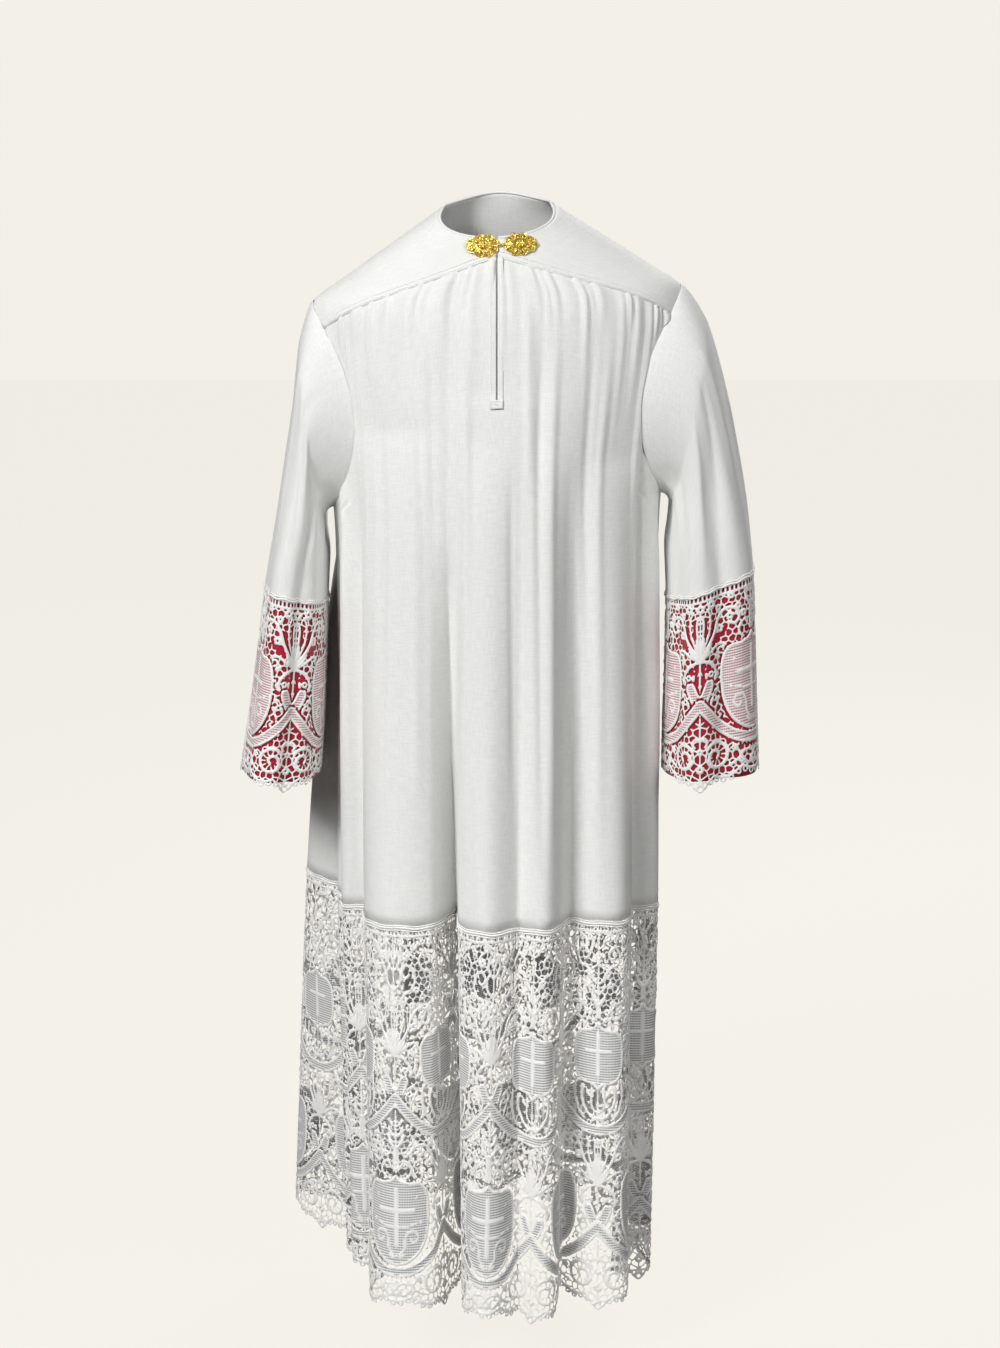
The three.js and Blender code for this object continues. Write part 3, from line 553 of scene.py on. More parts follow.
@dataclass(frozen=True)
class SleeveForm:
    """The outer face of one sleeve and its cuff, from the armhole (t 0) to the cuff's edge (t 2)."""

    side: Side
    gown: GownForm
    head: HeadGathers = HeadGathers()
    cuff: float = 270.0
    blend: float = 0.16
    fold_fade: float = 0.5
    crease_rise: float = 0.16  # the shares of a crease's run over which it rises and falls
    crease_fall: float = 0.45
    angle_step: float = 2.0  # how far from a point its tangents are taken
    t_step: float = 0.02

    @property
    def rows(self) -> tuple[SleeveRow, ...]:
        """This side's table of rings."""
        return SLEEVE_LEFT if self.side is Side.LEFT else SLEEVE_RIGHT

    def armhole_place(self, angle: Array) -> tuple[Array, Array]:
        """The turn and height on the gown of the armhole's edge, an ellipse round its middle."""
        form = self.gown
        middle = (form.armhole_top + form.armhole_bottom) / 2
        tall = (form.armhole_top - form.armhole_bottom - form.seam) / 2
        a = np.radians(angle)
        turn = self.side.value * (90.0 - (form.armhole_degrees - form.seam_turn) * np.sin(a))
        return turn, middle + tall * np.cos(a)

    def column_at(self, name: str, t: Array) -> Array:
        """A column of the table, carried on straight past the cuff's edge."""
        keys, values = column(self.rows, "t"), column(self.rows, name)
        end = read(keys, values, np.minimum(t, 2.0))
        return end + np.maximum(t - 2.0, 0.0) * 2.0 * (end - read(keys, values, np.full_like(t, 1.5)))

    def folds(self, angle: Array, t: Array) -> Array:
        """How far the sleeve's soft folds stand out, each fading in and out over half a step."""
        out = np.zeros(np.broadcast(angle, t).shape)
        for fold in SLEEVE_FOLDS[self.side]:
            run = ease((t - fold.start) / self.fold_fade) * ease((fold.end - t) / self.fold_fade)
            out = out + fold.deep * run * crest(apart(angle, fold.at), fold.half)
        return out

    def creased(self, angle: Array, t: Array) -> Array:
        """The height of the finer creases at an angle and t."""
        out = np.zeros(np.broadcast(angle, t).shape)
        for one in SLEEVE_CREASES[self.side]:
            run = (t - one.start) / (one.end - one.start)
            fade = ease(run / self.crease_rise) * ease((1.0 - run) / self.crease_fall)
            middle = one.at + one.drift * np.clip(run, 0.0, 1.0)
            out = out + one.deep * fade * crest(apart(angle, middle), one.half)
        return out

    def point(self, angle: Array, t: Array) -> Array:
        """A point of the outer face.

        Formula: an ellipse between the outer and inner line and as deep as the table says, moved out
        along its normal by the folds, and blended into the armhole's edge near the shoulder.

        Args:
            angle: the angle round the sleeve from its outer line, positive to the front.
            t: 0 at the armhole, 1 at the cuff's seam, 2 at the cuff's edge.

        Returns:
            The places, with x, y and z last.
        """
        angle, t = np.broadcast_arrays(np.asarray(angle, float), np.asarray(t, float))
        a = np.radians(angle)
        names = ("out_x", "out_z", "in_x", "in_z", "deep", "y")
        out_x, out_z, in_x, in_z, deep, back = (self.column_at(name, t) for name in names)
        arm_x, arm_z = (out_x - in_x) / 2, (out_z - in_z) / 2
        reach = np.hypot(arm_x, arm_z)
        nx, ny = np.cos(a) / reach, np.sin(a) / deep
        length = np.hypot(nx, ny)
        out = self.folds(angle, t)
        across = (reach * np.cos(a) + out * nx / length) / reach
        x = self.side.value * ((out_x + in_x) / 2 + arm_x * across)
        y = back - (deep * np.sin(a) + out * ny / length)
        z = (out_z + in_z) / 2 + arm_z * across
        place = np.stack([x, y, z + self.gown.lean(x, z)], axis=-1)
        share = ease(t / self.blend)[..., None]
        return mix(self.gown.point(*self.armhole_place(angle)), place, share)

    def normal(self, angle: Array, t: Array) -> Array:
        """The outward normal, square to the tangents round the sleeve and along it."""
        around = self.point(angle + self.angle_step, t) - self.point(angle - self.angle_step, t)
        along = self.point(angle, t + self.t_step) - self.point(angle, np.maximum(t - self.t_step, 0.0))
        return unit(np.cross(around, along)) * self.side.value

    def below_seam(self, length: Array) -> Array:
        """t at a length in millimetres below the cuff's seam."""
        return 1.0 + length / self.cuff


# ------------------------------------------------------------------ meshes
def make_object(name: str, points: Array, faces: Array, uv: Array | None = None) -> bpy.types.Object:
    """Makes a smooth-shaded mesh object.

    Formula: each place is its point in millimetres times 0.001.

    Args:
        name: the piece's name.
        points: the points in millimetres.
        faces: the corners of each face, all faces with as many.
        uv: where each point lies on the flat cloth, in millimetres.

    Returns:
        The new object, at the origin.
    """
    mesh = bpy.data.meshes.new(name)
    mesh.vertices.add(len(points))
    mesh.vertices.foreach_set("co", (np.asarray(points) * MM).astype(np.float32).ravel())
    mesh.loops.add(faces.size)
    mesh.loops.foreach_set("vertex_index", faces.astype(np.int32).ravel())
    mesh.polygons.add(len(faces))
    mesh.polygons.foreach_set("loop_start", np.arange(0, faces.size, faces.shape[1], dtype=np.int32))
    mesh.update(calc_edges=True)
    mesh.polygons.foreach_set("use_smooth", np.ones(len(faces), bool))
    if uv is not None:
        layer = mesh.uv_layers.new(name="cloth")
        layer.data.foreach_set("uv", (uv[faces.ravel()] * MM).astype(np.float32).ravel())
    piece = bpy.data.objects.new(name, mesh)
    bpy.context.scene.collection.objects.link(piece)
    return piece


def grid_faces(
    rows: int, columns: int, closed: bool = False, flip: bool = False, keep: Array | None = None
) -> Array:
    """The quads of a grid whose rows run down and whose columns run to the right, seen from outside.

    Args:
        rows: how many rows of points.
        columns: how many points a row.
        closed: whether the last column joins the first.
        flip: turns the faces over, for rows that run to the left.
        keep: which cells have a face.

    Returns:
        Four corners a face.
    """
    index = np.arange(rows * columns).reshape(rows, columns)
    right = np.roll(index, -1, axis=1) if closed else index[:, 1:]
    left = index if closed else index[:, :-1]
    quads = np.stack([left[:-1], left[1:], right[1:], right[:-1]], axis=-1)
    quads = quads[keep] if keep is not None else quads.reshape(-1, 4)
    return quads[:, ::-1] if flip else quads


def halved(quads: Array) -> Array:
    """Two triangles for each quad."""
    return np.concatenate([quads[:, [0, 1, 2]], quads[:, [0, 2, 3]]])


def flat_places(points: Array) -> Array:
    """Where a grid of points lies on the flat cloth: the length along each row, and down each column."""
    along = np.cumsum(np.linalg.norm(np.diff(points, axis=1, prepend=points[:, :1]), axis=2), axis=1)
    down = np.cumsum(np.linalg.norm(np.diff(points, axis=0, prepend=points[:1]), axis=2), axis=0)
    return np.stack([along, -down], axis=-1)


def thicken(piece: bpy.types.Object, thickness: float) -> None:
    """Gives a sheet its wall: a Solidify that grows inwards by a thickness in millimetres."""
    wall = piece.modifiers.new("wall", "SOLIDIFY")
    wall.thickness = thickness * MM
    wall.offset = -1.0
    wall.use_even_offset = False


def tube(path: Array, out: Array, radius: Array, sides: int = 6, flat: float = 1.0) -> tuple[Array, Array]:
    """A closed tube: a round profile carried along a path.

    Formula: each ring is path + radius (cos a * out * flat + sin a * across), where across is square to
    the path and to out, and each end closes on one point.

    Args:
        path: the points of the centre line.
        out: the direction at each point that the profile's top faces.
        radius: the radius at each point.
        sides: corners of the profile.
        flat: the profile's height as a share of its width.

    Returns:
        Points and triangles.
    """
    path = np.asarray(path, float)
    along = unit(np.gradient(path, axis=0))
    across = unit(np.cross(along, out))
    out = unit(np.cross(across, along))
    a = np.linspace(0.0, 2.0 * np.pi, sides, endpoint=False)
    radius = np.broadcast_to(radius, len(path))[:, None, None]
    ring = np.cos(a)[None, :, None] * out[:, None, :] * flat + np.sin(a)[None, :, None] * across[:, None, :]
    points = (path[:, None, :] + radius * ring).reshape(-1, 3)
    tris = halved(grid_faces(len(path), sides, closed=True, flip=True))
    first, last = len(points), len(points) + 1
    step = np.arange(sides)
    after = (step + 1) % sides
    end = (len(path) - 1) * sides
    start_fan = np.stack([np.full(sides, first), step, after], axis=1)
    end_fan = np.stack([np.full(sides, last), end + after, end + step], axis=1)
    tris = np.concatenate([tris, start_fan[:, ::-1], end_fan[:, ::-1]])
    return np.concatenate([points, path[[0, -1]]]), tris


def joined(parts: list[tuple[Array, Array]]) -> tuple[Array, Array]:
    """Several closed forms as the points and triangles of one mesh."""
    starts = np.cumsum([0] + [len(points) for points, _ in parts[:-1]])
    faces = [faces + start for (_, faces), start in zip(parts, starts)]
    return np.concatenate([points for points, _ in parts]), np.concatenate(faces)


BEAD_RINGS = 6
BEAD_END = 0.12  # where a bead's end closes, in radians from its axis
ASKEW = (0.3, 0.2, 1.0)  # a direction that no bead's axis has


def bead(centre: Array, out: Array, radius: float, tall: float = 1.0, sides: int = 8) -> tuple[Array, Array]:
    """A round bead: a tube along its own axis whose radius is a sine of the way along."""
    turn = np.linspace(BEAD_END, np.pi - BEAD_END, BEAD_RINGS)
    out = unit(np.asarray(out, float))
    path = np.asarray(centre)[None, :] - np.cos(turn)[:, None] * out[None, :] * radius * tall
    side = unit(np.cross(out, ASKEW))
    return tube(path, np.broadcast_to(side, path.shape), radius * np.sin(turn), sides)


# A stitch's four rings: the share of its length, and its height and its thickness in thread radii.
STITCH_RINGS = np.array([(0.0, -0.4, 0.45), (0.3, 0.6, 1.0), (0.7, 0.6, 1.0), (1.0, -0.4, 0.45)])


@dataclass(frozen=True)
class Stitch:
    """A stitch's length, the gap to the next one and the thread's radius."""

    length: float = 2.6
    gap: float = 1.5
    radius: float = 0.42


def stitches(path: Array, out: Array, stitch: Stitch) -> tuple[Array, Array]:
    """A row of stitches along a path: each a small closed grain that dips into the cloth at its ends.

    Args:
        path: points along the seam, close together.
        out: the cloth's outward normal at each.
        stitch: the stitch.

    Returns:
        Points and triangles of all stitches.
    """
    along = np.concatenate([[0.0], np.cumsum(np.linalg.norm(np.diff(path, axis=0), axis=1))])
    pitch = stitch.length + stitch.gap
    count = int((along[-1] - stitch.gap) // pitch)
    share, high, thick = STITCH_RINGS.T
    at = stitch.gap + np.arange(count)[:, None] * pitch + share * stitch.length
    places = np.stack([np.interp(at, along, path[:, k]) for k in range(3)], axis=-1)
    normals = np.stack([np.interp(at, along, out[:, k]) for k in range(3)], axis=-1)
    places = places + normals * high[:, None] * stitch.radius
    return joined([tube(one, normal, stitch.radius * thick, 4) for one, normal in zip(places, normals)])


# ------------------------------------------------------------------ the lace's pattern
class Tier(Enum):
    """The two tiers of the hem's pattern. A cuff has the lower one alone."""

    LOWER = 0
    UPPER = 1


@dataclass(frozen=True)
class Strand:
    """A raised cord or padded leaf through points (a, g), thinner towards its ends by taper."""

    points: tuple[tuple[float, float], ...]
    half: float = 1.6
    high: float = 1.5
    taper: float = 0.0


@dataclass(frozen=True)
class Ring:
    """A corded ring, open inside, with radial bars where it is a wheel."""

    a: float
    g: float
    radius: float
    half: float = 1.6
    bars: int = 0


@dataclass(frozen=True)
class Flower:
    """A padded flower of round petals with an eyelet in its middle."""

    a: float
    g: float
    radius: float
    petals: int = 5


# In each tier a is the distance from the field's axis and g the height above the net ribbon's low point.
RIBBON = ((0, 0), (16, 1.5), (34, 8), (52, 21), (68, 37), (83, 54))
RIBBON_END = ((83, 54), (75, 65), (69, 79))

# The palmette over the ribbons' crossing: open gaps, then the stems, scrolls and loops that fan out of one
# point between them.
PALMETTE_GAPS = (
    Strand(((80, 132), (76, 150), (75, 168)), 2.4),
    Strand(((74, 132), (66, 148), (61, 166)), 2.8),
    Strand(((62, 136), (54, 143), (44, 150)), 3.2),
    Strand(((72, 106), (66, 98), (68, 88)), 2.4),
    Strand(((79, 76), (76, 90), (79, 104)), 2.4),
    Strand(((60, 70), (66, 66), (73, 60)), 2.2),
)
PALMETTE = (
    Strand(((83, 60), (83, 90), (83, 122)), 1.5),
    Strand(((83, 120), (80, 142), (78, 166), (80, 180)), 1.5),
    Strand(((83, 120), (75, 138), (69, 156), (68, 176), (73, 188)), 1.4),
    Strand(
        (
            (82, 118), (71, 134), (61, 150), (54, 168), (43, 180),
            (29, 178), (22, 167), (28, 157), (38, 160),
        ),
        2.2,
    ),
    Strand(((81, 116), (68, 124), (55, 132), (44, 131), (40, 121), (48, 113), (58, 118)), 2.0),
    Strand(((82, 114), (72, 112), (62, 104), (57, 94), (62, 84), (72, 86), (74, 96)), 2.0),
    Strand(((69, 79), (60, 84), (53, 94), (49, 106)), 1.5),
    Strand(((69, 79), (72, 74), (78, 66)), 1.5),
    Strand(((83, 126), (79, 137), (77, 148)), 1.9, 2.0, 0.6),
    Strand(((79, 118), (71, 127), (65, 137)), 1.9, 2.0, 0.6),
    Strand(((59, 42), (54, 54), (48, 62)), 1.5),
    Strand(((66, 48), (66, 60), (60, 70), (52, 70), (50, 62), (56, 58)), 1.7),
)
PALMETTE_RINGS = (Ring(49, 123, 4.4, 1.6), Ring(66, 94, 3.2, 1.5), Ring(60, 60, 3.2, 1.3))
PALMETTE_FLOWERS = (
    Flower(36, 169, 6.4),
    Flower(51, 154, 6.6),
    Flower(83, 190, 7.5),
    Flower(66, 193, 6.6),
    Flower(53, 184, 5.6),
    Flower(73, 70, 4.6, 4),
    Flower(53, 34, 5.4),
)

# The lower field: a shield of fine net with a plain cross between two pairs of small scrolls.
SHIELD = (
    (0, 138), (6, 131), (18, 127), (34, 126), (43, 117), (47, 100),
    (47, 76), (43, 50), (32, 28), (14, 14), (0, 11),
)
SHIELD_ART = (
    Strand(((0, 38), (0, 118)), 2.5, 1.7),
    Strand(((0, 88), (12, 88), (24, 88)), 2.3, 1.7),
    Strand(((0, 66), (14, 65), (28, 69)), 1.8, 1.5),
    Strand(((4, 24), (11, 33), (12, 46), (17, 57), (27, 57), (31, 48), (25, 42), (20, 47)), 1.7, 1.4),
    Strand(((0, 24), (6, 21), (11, 25)), 1.5, 1.5),
)
SHIELD_DOTS = (
    Flower(0, 119, 3.2, 4),
    Flower(25, 88, 3.2, 4),
    Flower(30, 106, 2.6, 4),
    Flower(35, 70, 2.6, 4),
)
SHIELD_SIDES = (
    Strand(((47, 110), (52, 104), (50, 96), (56, 90)), 1.7),
    Strand(((48, 80), (54, 76), (52, 68), (46, 64)), 1.7),
)

# The upper field: an eye, a pair of scrolls that curl up from it, and an arch of fine net with a cross.
ARCH = (
    (0, 153), (5, 146), (15, 142), (30, 139), (39, 128), (41, 108),
    (39, 86), (31, 72), (22, 68), (8, 66), (0, 58),
)
ARCH_ART = (
    Strand(((0, 77), (0, 137)), 2.4, 1.7),
    Strand(((0, 112), (10, 112), (20, 112)), 2.4, 1.7),
)
ARCH_DOTS = (Flower(0, 136, 3.0, 4), Flower(20, 112, 3.0, 4), Flower(0, 78, 3.0, 4))
ARCH_GAPS = (
    Strand(((13, 26), (21, 40), (22, 52)), 2.6),
    Strand(((4, 30), (6, 40), (3, 52)), 2.2),
    Strand(((30, 34), (34, 46), (34, 60)), 2.0),
    Strand(((6, 10), (0, 11)), 3.0),
)
ARCH_SIDES = (
    Strand(((5, 15), (17, 24), (26, 40), (27, 56), (20, 67), (11, 65), (8, 56), (13, 49), (18, 53)), 2.2),
    Strand(((8, 9), (24, 16), (36, 32), (40, 52), (39, 70)), 1.8),
    Strand(((0, 24), (8, 30), (11, 42), (8, 50)), 1.5),
    Strand(((41, 122), (48, 128), (54, 121), (50, 113), (42, 112)), 1.7),
    Strand(((40, 92), (46, 97), (51, 90), (46, 83), (39, 83)), 1.6),
    Strand(((0, 17.5), (6, 16), (9, 11), (6, 6.5), (0, 5)), 2.2),
)

# The ladder and the paired leaves that stand over a field's point.
LADDER = (
    Strand(((3.4, 138), (3.4, 158), (3.0, 178)), 1.2),
    Strand(((0, 178), (0, 206), (0, 238)), 1.6),
    Strand(((1, 178), (8, 184), (13, 195)), 2.6, 2.1, 0.7),
    Strand(((1, 192), (8, 199), (12, 210)), 2.4, 2.1, 0.7),
    Strand(((1, 207), (8, 213), (11, 223)), 2.2, 2.0, 0.7),
    Strand(((14, 133), (22, 142), (22, 152), (14, 158), (8, 152)), 1.6),
    Strand(((0, 238), (7, 231), (15, 228), (24, 231)), 1.5),
)
RUNGS = tuple(Strand(((0, height), (3.4, height)), 1.0, 1.0) for height in range(143, 176, 6))
LADDER_FLOWERS = (
    Flower(15, 168, 5.6),
    Flower(24, 180, 5.4),
    Flower(21, 206, 6.0),
    Flower(17, 222, 5.2),
    Flower(34, 196, 5.4),
)

# What fills the upper tier up to the band: sprays over the palmette and scrolls over the ladder.
CROWN_GAPS = (
    Strand(((78, 208), (76, 222), (79, 236)), 2.4),
    Strand(((62, 212), (57, 222), (62, 232)), 3.0),
    Strand(((8, 252), (14, 262), (8, 272)), 2.6),
    Strand(((30, 254), (40, 262), (50, 270)), 2.4),
)
CROWN = (
    Strand(((83, 198), (83, 232), (83, 272)), 1.6),
    Strand(((82, 206), (74, 213), (70, 226), (74, 236)), 2.0),
    Strand(((82, 232), (75, 240), (72, 252), (76, 262)), 2.0),
    Strand(((66, 200), (54, 206), (46, 220), (50, 236), (62, 240), (68, 231), (62, 223), (56, 227)), 2.0),
    Strand(((0, 240), (0, 262), (0, 276)), 1.6),
    Strand(((24, 231), (34, 236), (38, 248), (30, 258), (20, 254), (19, 245), (26, 242)), 2.0),
    Strand(((1, 256), (8, 262), (10, 272)), 2.2, 2.0, 0.7),
    Strand(((38, 248), (50, 254), (60, 264), (70, 270)), 1.6),
)
CROWN_FLOWERS = (
    Flower(83, 252, 6.4),
    Flower(62, 252, 6.2),
    Flower(44, 206, 5.4),
    Flower(46, 266, 6.0),
    Flower(16, 272, 5.6),
    Flower(0, 246, 5.4),
    Flower(31, 272, 5.2),
    Flower(68, 272, 5.2),
)

# The border under the lower tier and the pendant's loops, with h from the lowest point of the edge.
PENDANT = (Ring(83, -2.5, 4.2, 1.4), Ring(76.5, 3.5, 3.4, 1.3))
WHEELS = (Ring(57, 40, 17.0, 1.4, 11),)
BORDER = (
    Strand(
        (
            (73, 50), (64, 57), (51, 56), (42, 47), (42, 34), (50, 25),
            (62, 25), (69, 34), (67, 44), (59, 47), (53, 42), (56, 36),
        ),
        2.2,
    ),
    Strand(((83, 92), (83, 76), (83, 60)), 1.4),
    Strand(((83, 62), (77, 66), (72, 60), (76, 54)), 1.6),
    Strand(((0, 50), (12, 50), (24, 53), (36, 59)), 1.5),
    Strand(((0, 38), (9, 42), (18, 40), (26, 32), (38, 24)), 1.8),
    Strand(((8, 24), (16, 30), (26, 44), (30, 56)), 1.5),
)
BORDER_FLOWERS = (
    Flower(0, 31, 7.0),
    Flower(83, 24, 6.4),
    Flower(22, 30, 4.6, 4),
    Flower(32, 47, 4.4, 4),
    Flower(83, 48, 5.0),
)


def line_distance(points: Array, x: Array, y: Array) -> tuple[Array, Array]:
    """The distance from each place to a line through points, and how far along the line that is.

    Formula: on each piece of the line the nearest point is the place's projection, clamped to the
    piece, and the least of these distances counts.

    Args:
        points: the line's points.
        x: the places' first coordinate.
        y: the places' second.

    Returns:
        The distance, and the share of the line's pieces passed.
    """
    start, step = points[:-1], np.diff(points, axis=0)
    dx = x[None, :] - start[:, :1]
    dy = y[None, :] - start[:, 1:]
    along = (dx * step[:, :1] + dy * step[:, 1:]) / np.maximum((step**2).sum(1, keepdims=True), 1e-9)
    along = np.clip(along, 0.0, 1.0)
    distance = np.hypot(dx - along * step[:, :1], dy - along * step[:, 1:])
    nearest = distance.argmin(axis=0)
    pick = np.arange(len(x))
    return distance[nearest, pick], (nearest + along[nearest, pick]) / len(step)


def as_drawn(points: Array) -> Array:
    """Points left where they are drawn."""
    return points


def inside_outline(points: Array, x: Array, y: Array) -> Array:
    """Whether each place lies in an outline: a ray to the right crosses it an odd number of times."""
    start, end = points, np.roll(points, -1, axis=0)
    spans = (start[:, 1:] > y[None, :]) != (end[:, 1:] > y[None, :])
    rise = np.where(end[:, 1:] == start[:, 1:], 1.0, end[:, 1:] - start[:, 1:])
    cross = start[:, :1] + (y[None, :] - start[:, 1:]) * (end[:, :1] - start[:, :1]) / rise
    return (spans & (x[None, :] < cross)).sum(axis=0) % 2 == 1


@dataclass
class LacePattern:
    """Half a repeat of lace, worked out on a flat grid of (a, h) as three fields.

    thread is the way into the thread at each point, in millimetres, and below 0 in a gap. relief is how
    high the thread stands there, and net is 1 on fine net and 0 on corded work.
    """

    tall: float
    tiers: tuple[Tier, ...]
    repeat: float = 166.0
    step: float = 1.66
    ribbon_low: float = 58.0
    tier_rise: float = 193.0
    ribbon_half: float = 5.6
    ribbon_cord: float = 1.7
    cell: float = 10.2
    bride: float = 1.0
    uneven: float = 0.2  # how far a cell's point is moved, as a share of the cell
    seed: int = 11
    row_pitch: float = 0.9  # from one row of cells to the next, as a share of the cell
    clear_of_axis: float = 1.2
    bride_relief: float = 0.5
    net_relief: float = 0.15
    net_cord: float = 2.0
    net_cord_relief: float = 1.9
    ribbon_relief: float = 1.7
    cord_relief: float = 1.6
    petal: float = 0.44  # a petal's radius and place, and the eyelet's radius, as shares of the flower's
    petal_at: float = 0.58
    petal_relief: float = 2.0
    eyelet: float = 0.25
    eyelet_from: float = 4.0  # the smallest radius of a flower with an eyelet
    spoke_from: float = 0.5
    spoke_half: float = 1.0
    spoke_relief: float = 0.5
    taper_power: float = 1.6
    lobe: float = 8.0
    hang: float = 14.0
    edge_cord_at: float = 3.0
    edge_cord_half: float = 1.7
    edge_cord_relief: float = 1.5
    picots: int = 16  # in a repeat
    picot_radius: float = 3.2
    picot_half: float = 1.15
    picot_sunk: float = 0.5
    band: float = 11.0
    bars: int = 26  # in a repeat
    bar_half: float = 1.35
    bar_relief: float = 0.7
    moat_wide: float = 3.4
    moat_pitch: float = 13.0
    moat_bride: float = 0.25  # the cosines' product over which a bride is left
    bare: float = 3.0  # how far into a gap the empty ground is, and how deep the band's ground is cut
    below: float = 9.0  # how far under the lowest point the grid starts
    a: Array = field(init=False)
    h: Array = field(init=False)
    thread: Array = field(init=False)
    relief: Array = field(init=False)
    net: Array = field(init=False)

    def __post_init__(self) -> None:
        """Lays the whole pattern on the grid, from the brides up."""
        self.columns = round(self.repeat / 2 / self.step)
        self.rows = round((self.tall + self.below + 1.0) / self.step)
        a = np.linspace(0.0, self.repeat / 2, self.columns + 1)
        h = np.linspace(-self.below, self.tall, self.rows + 1)
        grid_a, grid_h = np.meshgrid(a, h)
        self.shape = grid_a.shape
        self.a, self.h = grid_a.ravel(), grid_h.ravel()
        self.thread = np.full(self.a.shape, -self.bare)
        self.relief = np.zeros(self.a.shape)
        self.net = np.zeros(self.a.shape)
        self.lay_brides()
        self.lay_border()
        for tier in self.tiers:
            self.lay_tier(tier)
        self.lay_band()
        self.cut_edge()

    def edge(self, a: Array) -> Array:
        """The height of the scalloped edge at a: small lobes that hang lowest on the spray's axis."""
        place = a / self.repeat - 0.5
        lobe = self.lobe * np.abs(np.cos(4.0 * np.pi * place))
        return self.lobe + self.hang - lobe - self.hang * np.cos(np.pi * place) ** 2

    def lay(self, inside: Array, relief: Array, net: float = 0.0) -> None:
        """Adds thread where inside is above 0, with its relief; what is laid later covers net."""
        covered = inside > 0
        self.thread = np.maximum(self.thread, inside)
        self.relief = np.where(covered, np.maximum(self.relief, relief), self.relief)
        self.net = np.where(covered, net, self.net)

    def clear(self, inside: Array) -> None:
        """Cuts a gap where inside is above 0."""
        self.thread = np.minimum(self.thread, -inside)

    def lay_cord(self, off: Array, half: Array, high: float) -> None:
        """A cord's half-round section, as high as it says, by the way off its centre line."""
        self.lay(half - off, high * half_round(off, half))

    def lay_strand(self, strand: Strand, place: Callable[[Array], Array]) -> None:
        """A strand through its points, each end thinner by its taper."""
        points = place(smooth_path(strand.points, 6 * len(strand.points)))
        off, share = line_distance(points, self.a, self.h)
        taper = strand.taper * np.abs(2.0 * share - 1.0) ** self.taper_power
        self.lay_cord(off, strand.half * (1.0 - taper), strand.high)

    def lay_gap(self, gap: Strand, place: Callable[[Array], Array]) -> None:
        """A long gap cut through the ground, as wide as a strand says."""
        points = place(smooth_path(gap.points, 6 * len(gap.points)))
        self.clear(gap.half - line_distance(points, self.a, self.h)[0])

    def lay_ring(self, ring: Ring, place: Callable[[Array], Array]) -> None:
        """A ring cleared inside, then its bars and its cord."""
        a, h = place(np.array([[ring.a, ring.g]]))[0]
        reach = np.hypot(self.a - a, self.h - h)
        self.clear(ring.radius - reach)
        if ring.bars:
            turn = np.arctan2(self.h - h, self.a - a)
            off = np.abs((turn * ring.bars / (2 * np.pi)) % 1.0 - 0.5) * 2 * np.pi / ring.bars * reach
            ends = np.minimum(reach - ring.radius * self.spoke_from, ring.radius - reach)
            bar = np.minimum(self.spoke_half - off, ends + self.spoke_half)
            self.lay(bar, np.full(self.a.shape, self.spoke_relief))
        self.lay_cord(np.abs(reach - ring.radius), ring.half, self.cord_relief)

    def lay_flower(self, flower: Flower, place: Callable[[Array], Array]) -> None:
        """Round padded petals about an eyelet, which is left out of the smallest flowers."""
        a, h = place(np.array([[flower.a, flower.g]]))[0]
        turns = 2.0 * np.pi * (np.arange(flower.petals) / flower.petals) + np.pi / 2
        reach = self.petal_at * flower.radius
        for turn in turns:
            off = np.hypot(self.a - a - reach * np.cos(turn), self.h - h - reach * np.sin(turn))
            self.lay_cord(off, self.petal * flower.radius, self.petal_relief)
        if flower.radius > self.eyelet_from:
            self.clear(self.eyelet * flower.radius - np.hypot(self.a - a, self.h - h))

    def lay_net(self, outline: tuple, place: Callable[[Array], Array]) -> None:
        """Fine net in half an outline, closed along its axis, with a gap and then a cord round its edge."""
        line = place(smooth_path(outline, 8 * len(outline)))
        distance, _ = line_distance(line, self.a, self.h)
        inside = inside_outline(line, self.a, self.h)
        self.moat(np.where(inside, -distance, distance) - self.net_cord)
        self.clear(np.where(inside, distance, -1.0))
        self.relief = np.where(inside, 0.0, self.relief)
        thread = np.where(inside, distance + 0.5, -distance)  # the net starts at the outline itself
        self.lay(thread, np.full(self.a.shape, self.net_relief), 1.0)
        self.lay_cord(distance, self.net_cord, self.net_cord_relief)

    def moat(self, off: Array) -> None:
        """Opens the ground beside a net's cord, and leaves brides across the gap.

        Formula: the band between 0 and moat_wide past the cord is cleared, apart from where the product
        of two cosines, of the sum and the difference of a and h at the brides' pitch, is high.

        Args:
            off: the way past the cord's outer edge.
        """
        pitch = 2.0 * np.pi / self.moat_pitch
        bride = np.cos(pitch * (self.a + self.h)) * np.cos(pitch * (self.a - self.h)) > self.moat_bride
        self.clear(np.where(bride, -1.0, self.moat_wide / 2 - np.abs(off - self.moat_wide / 2)))

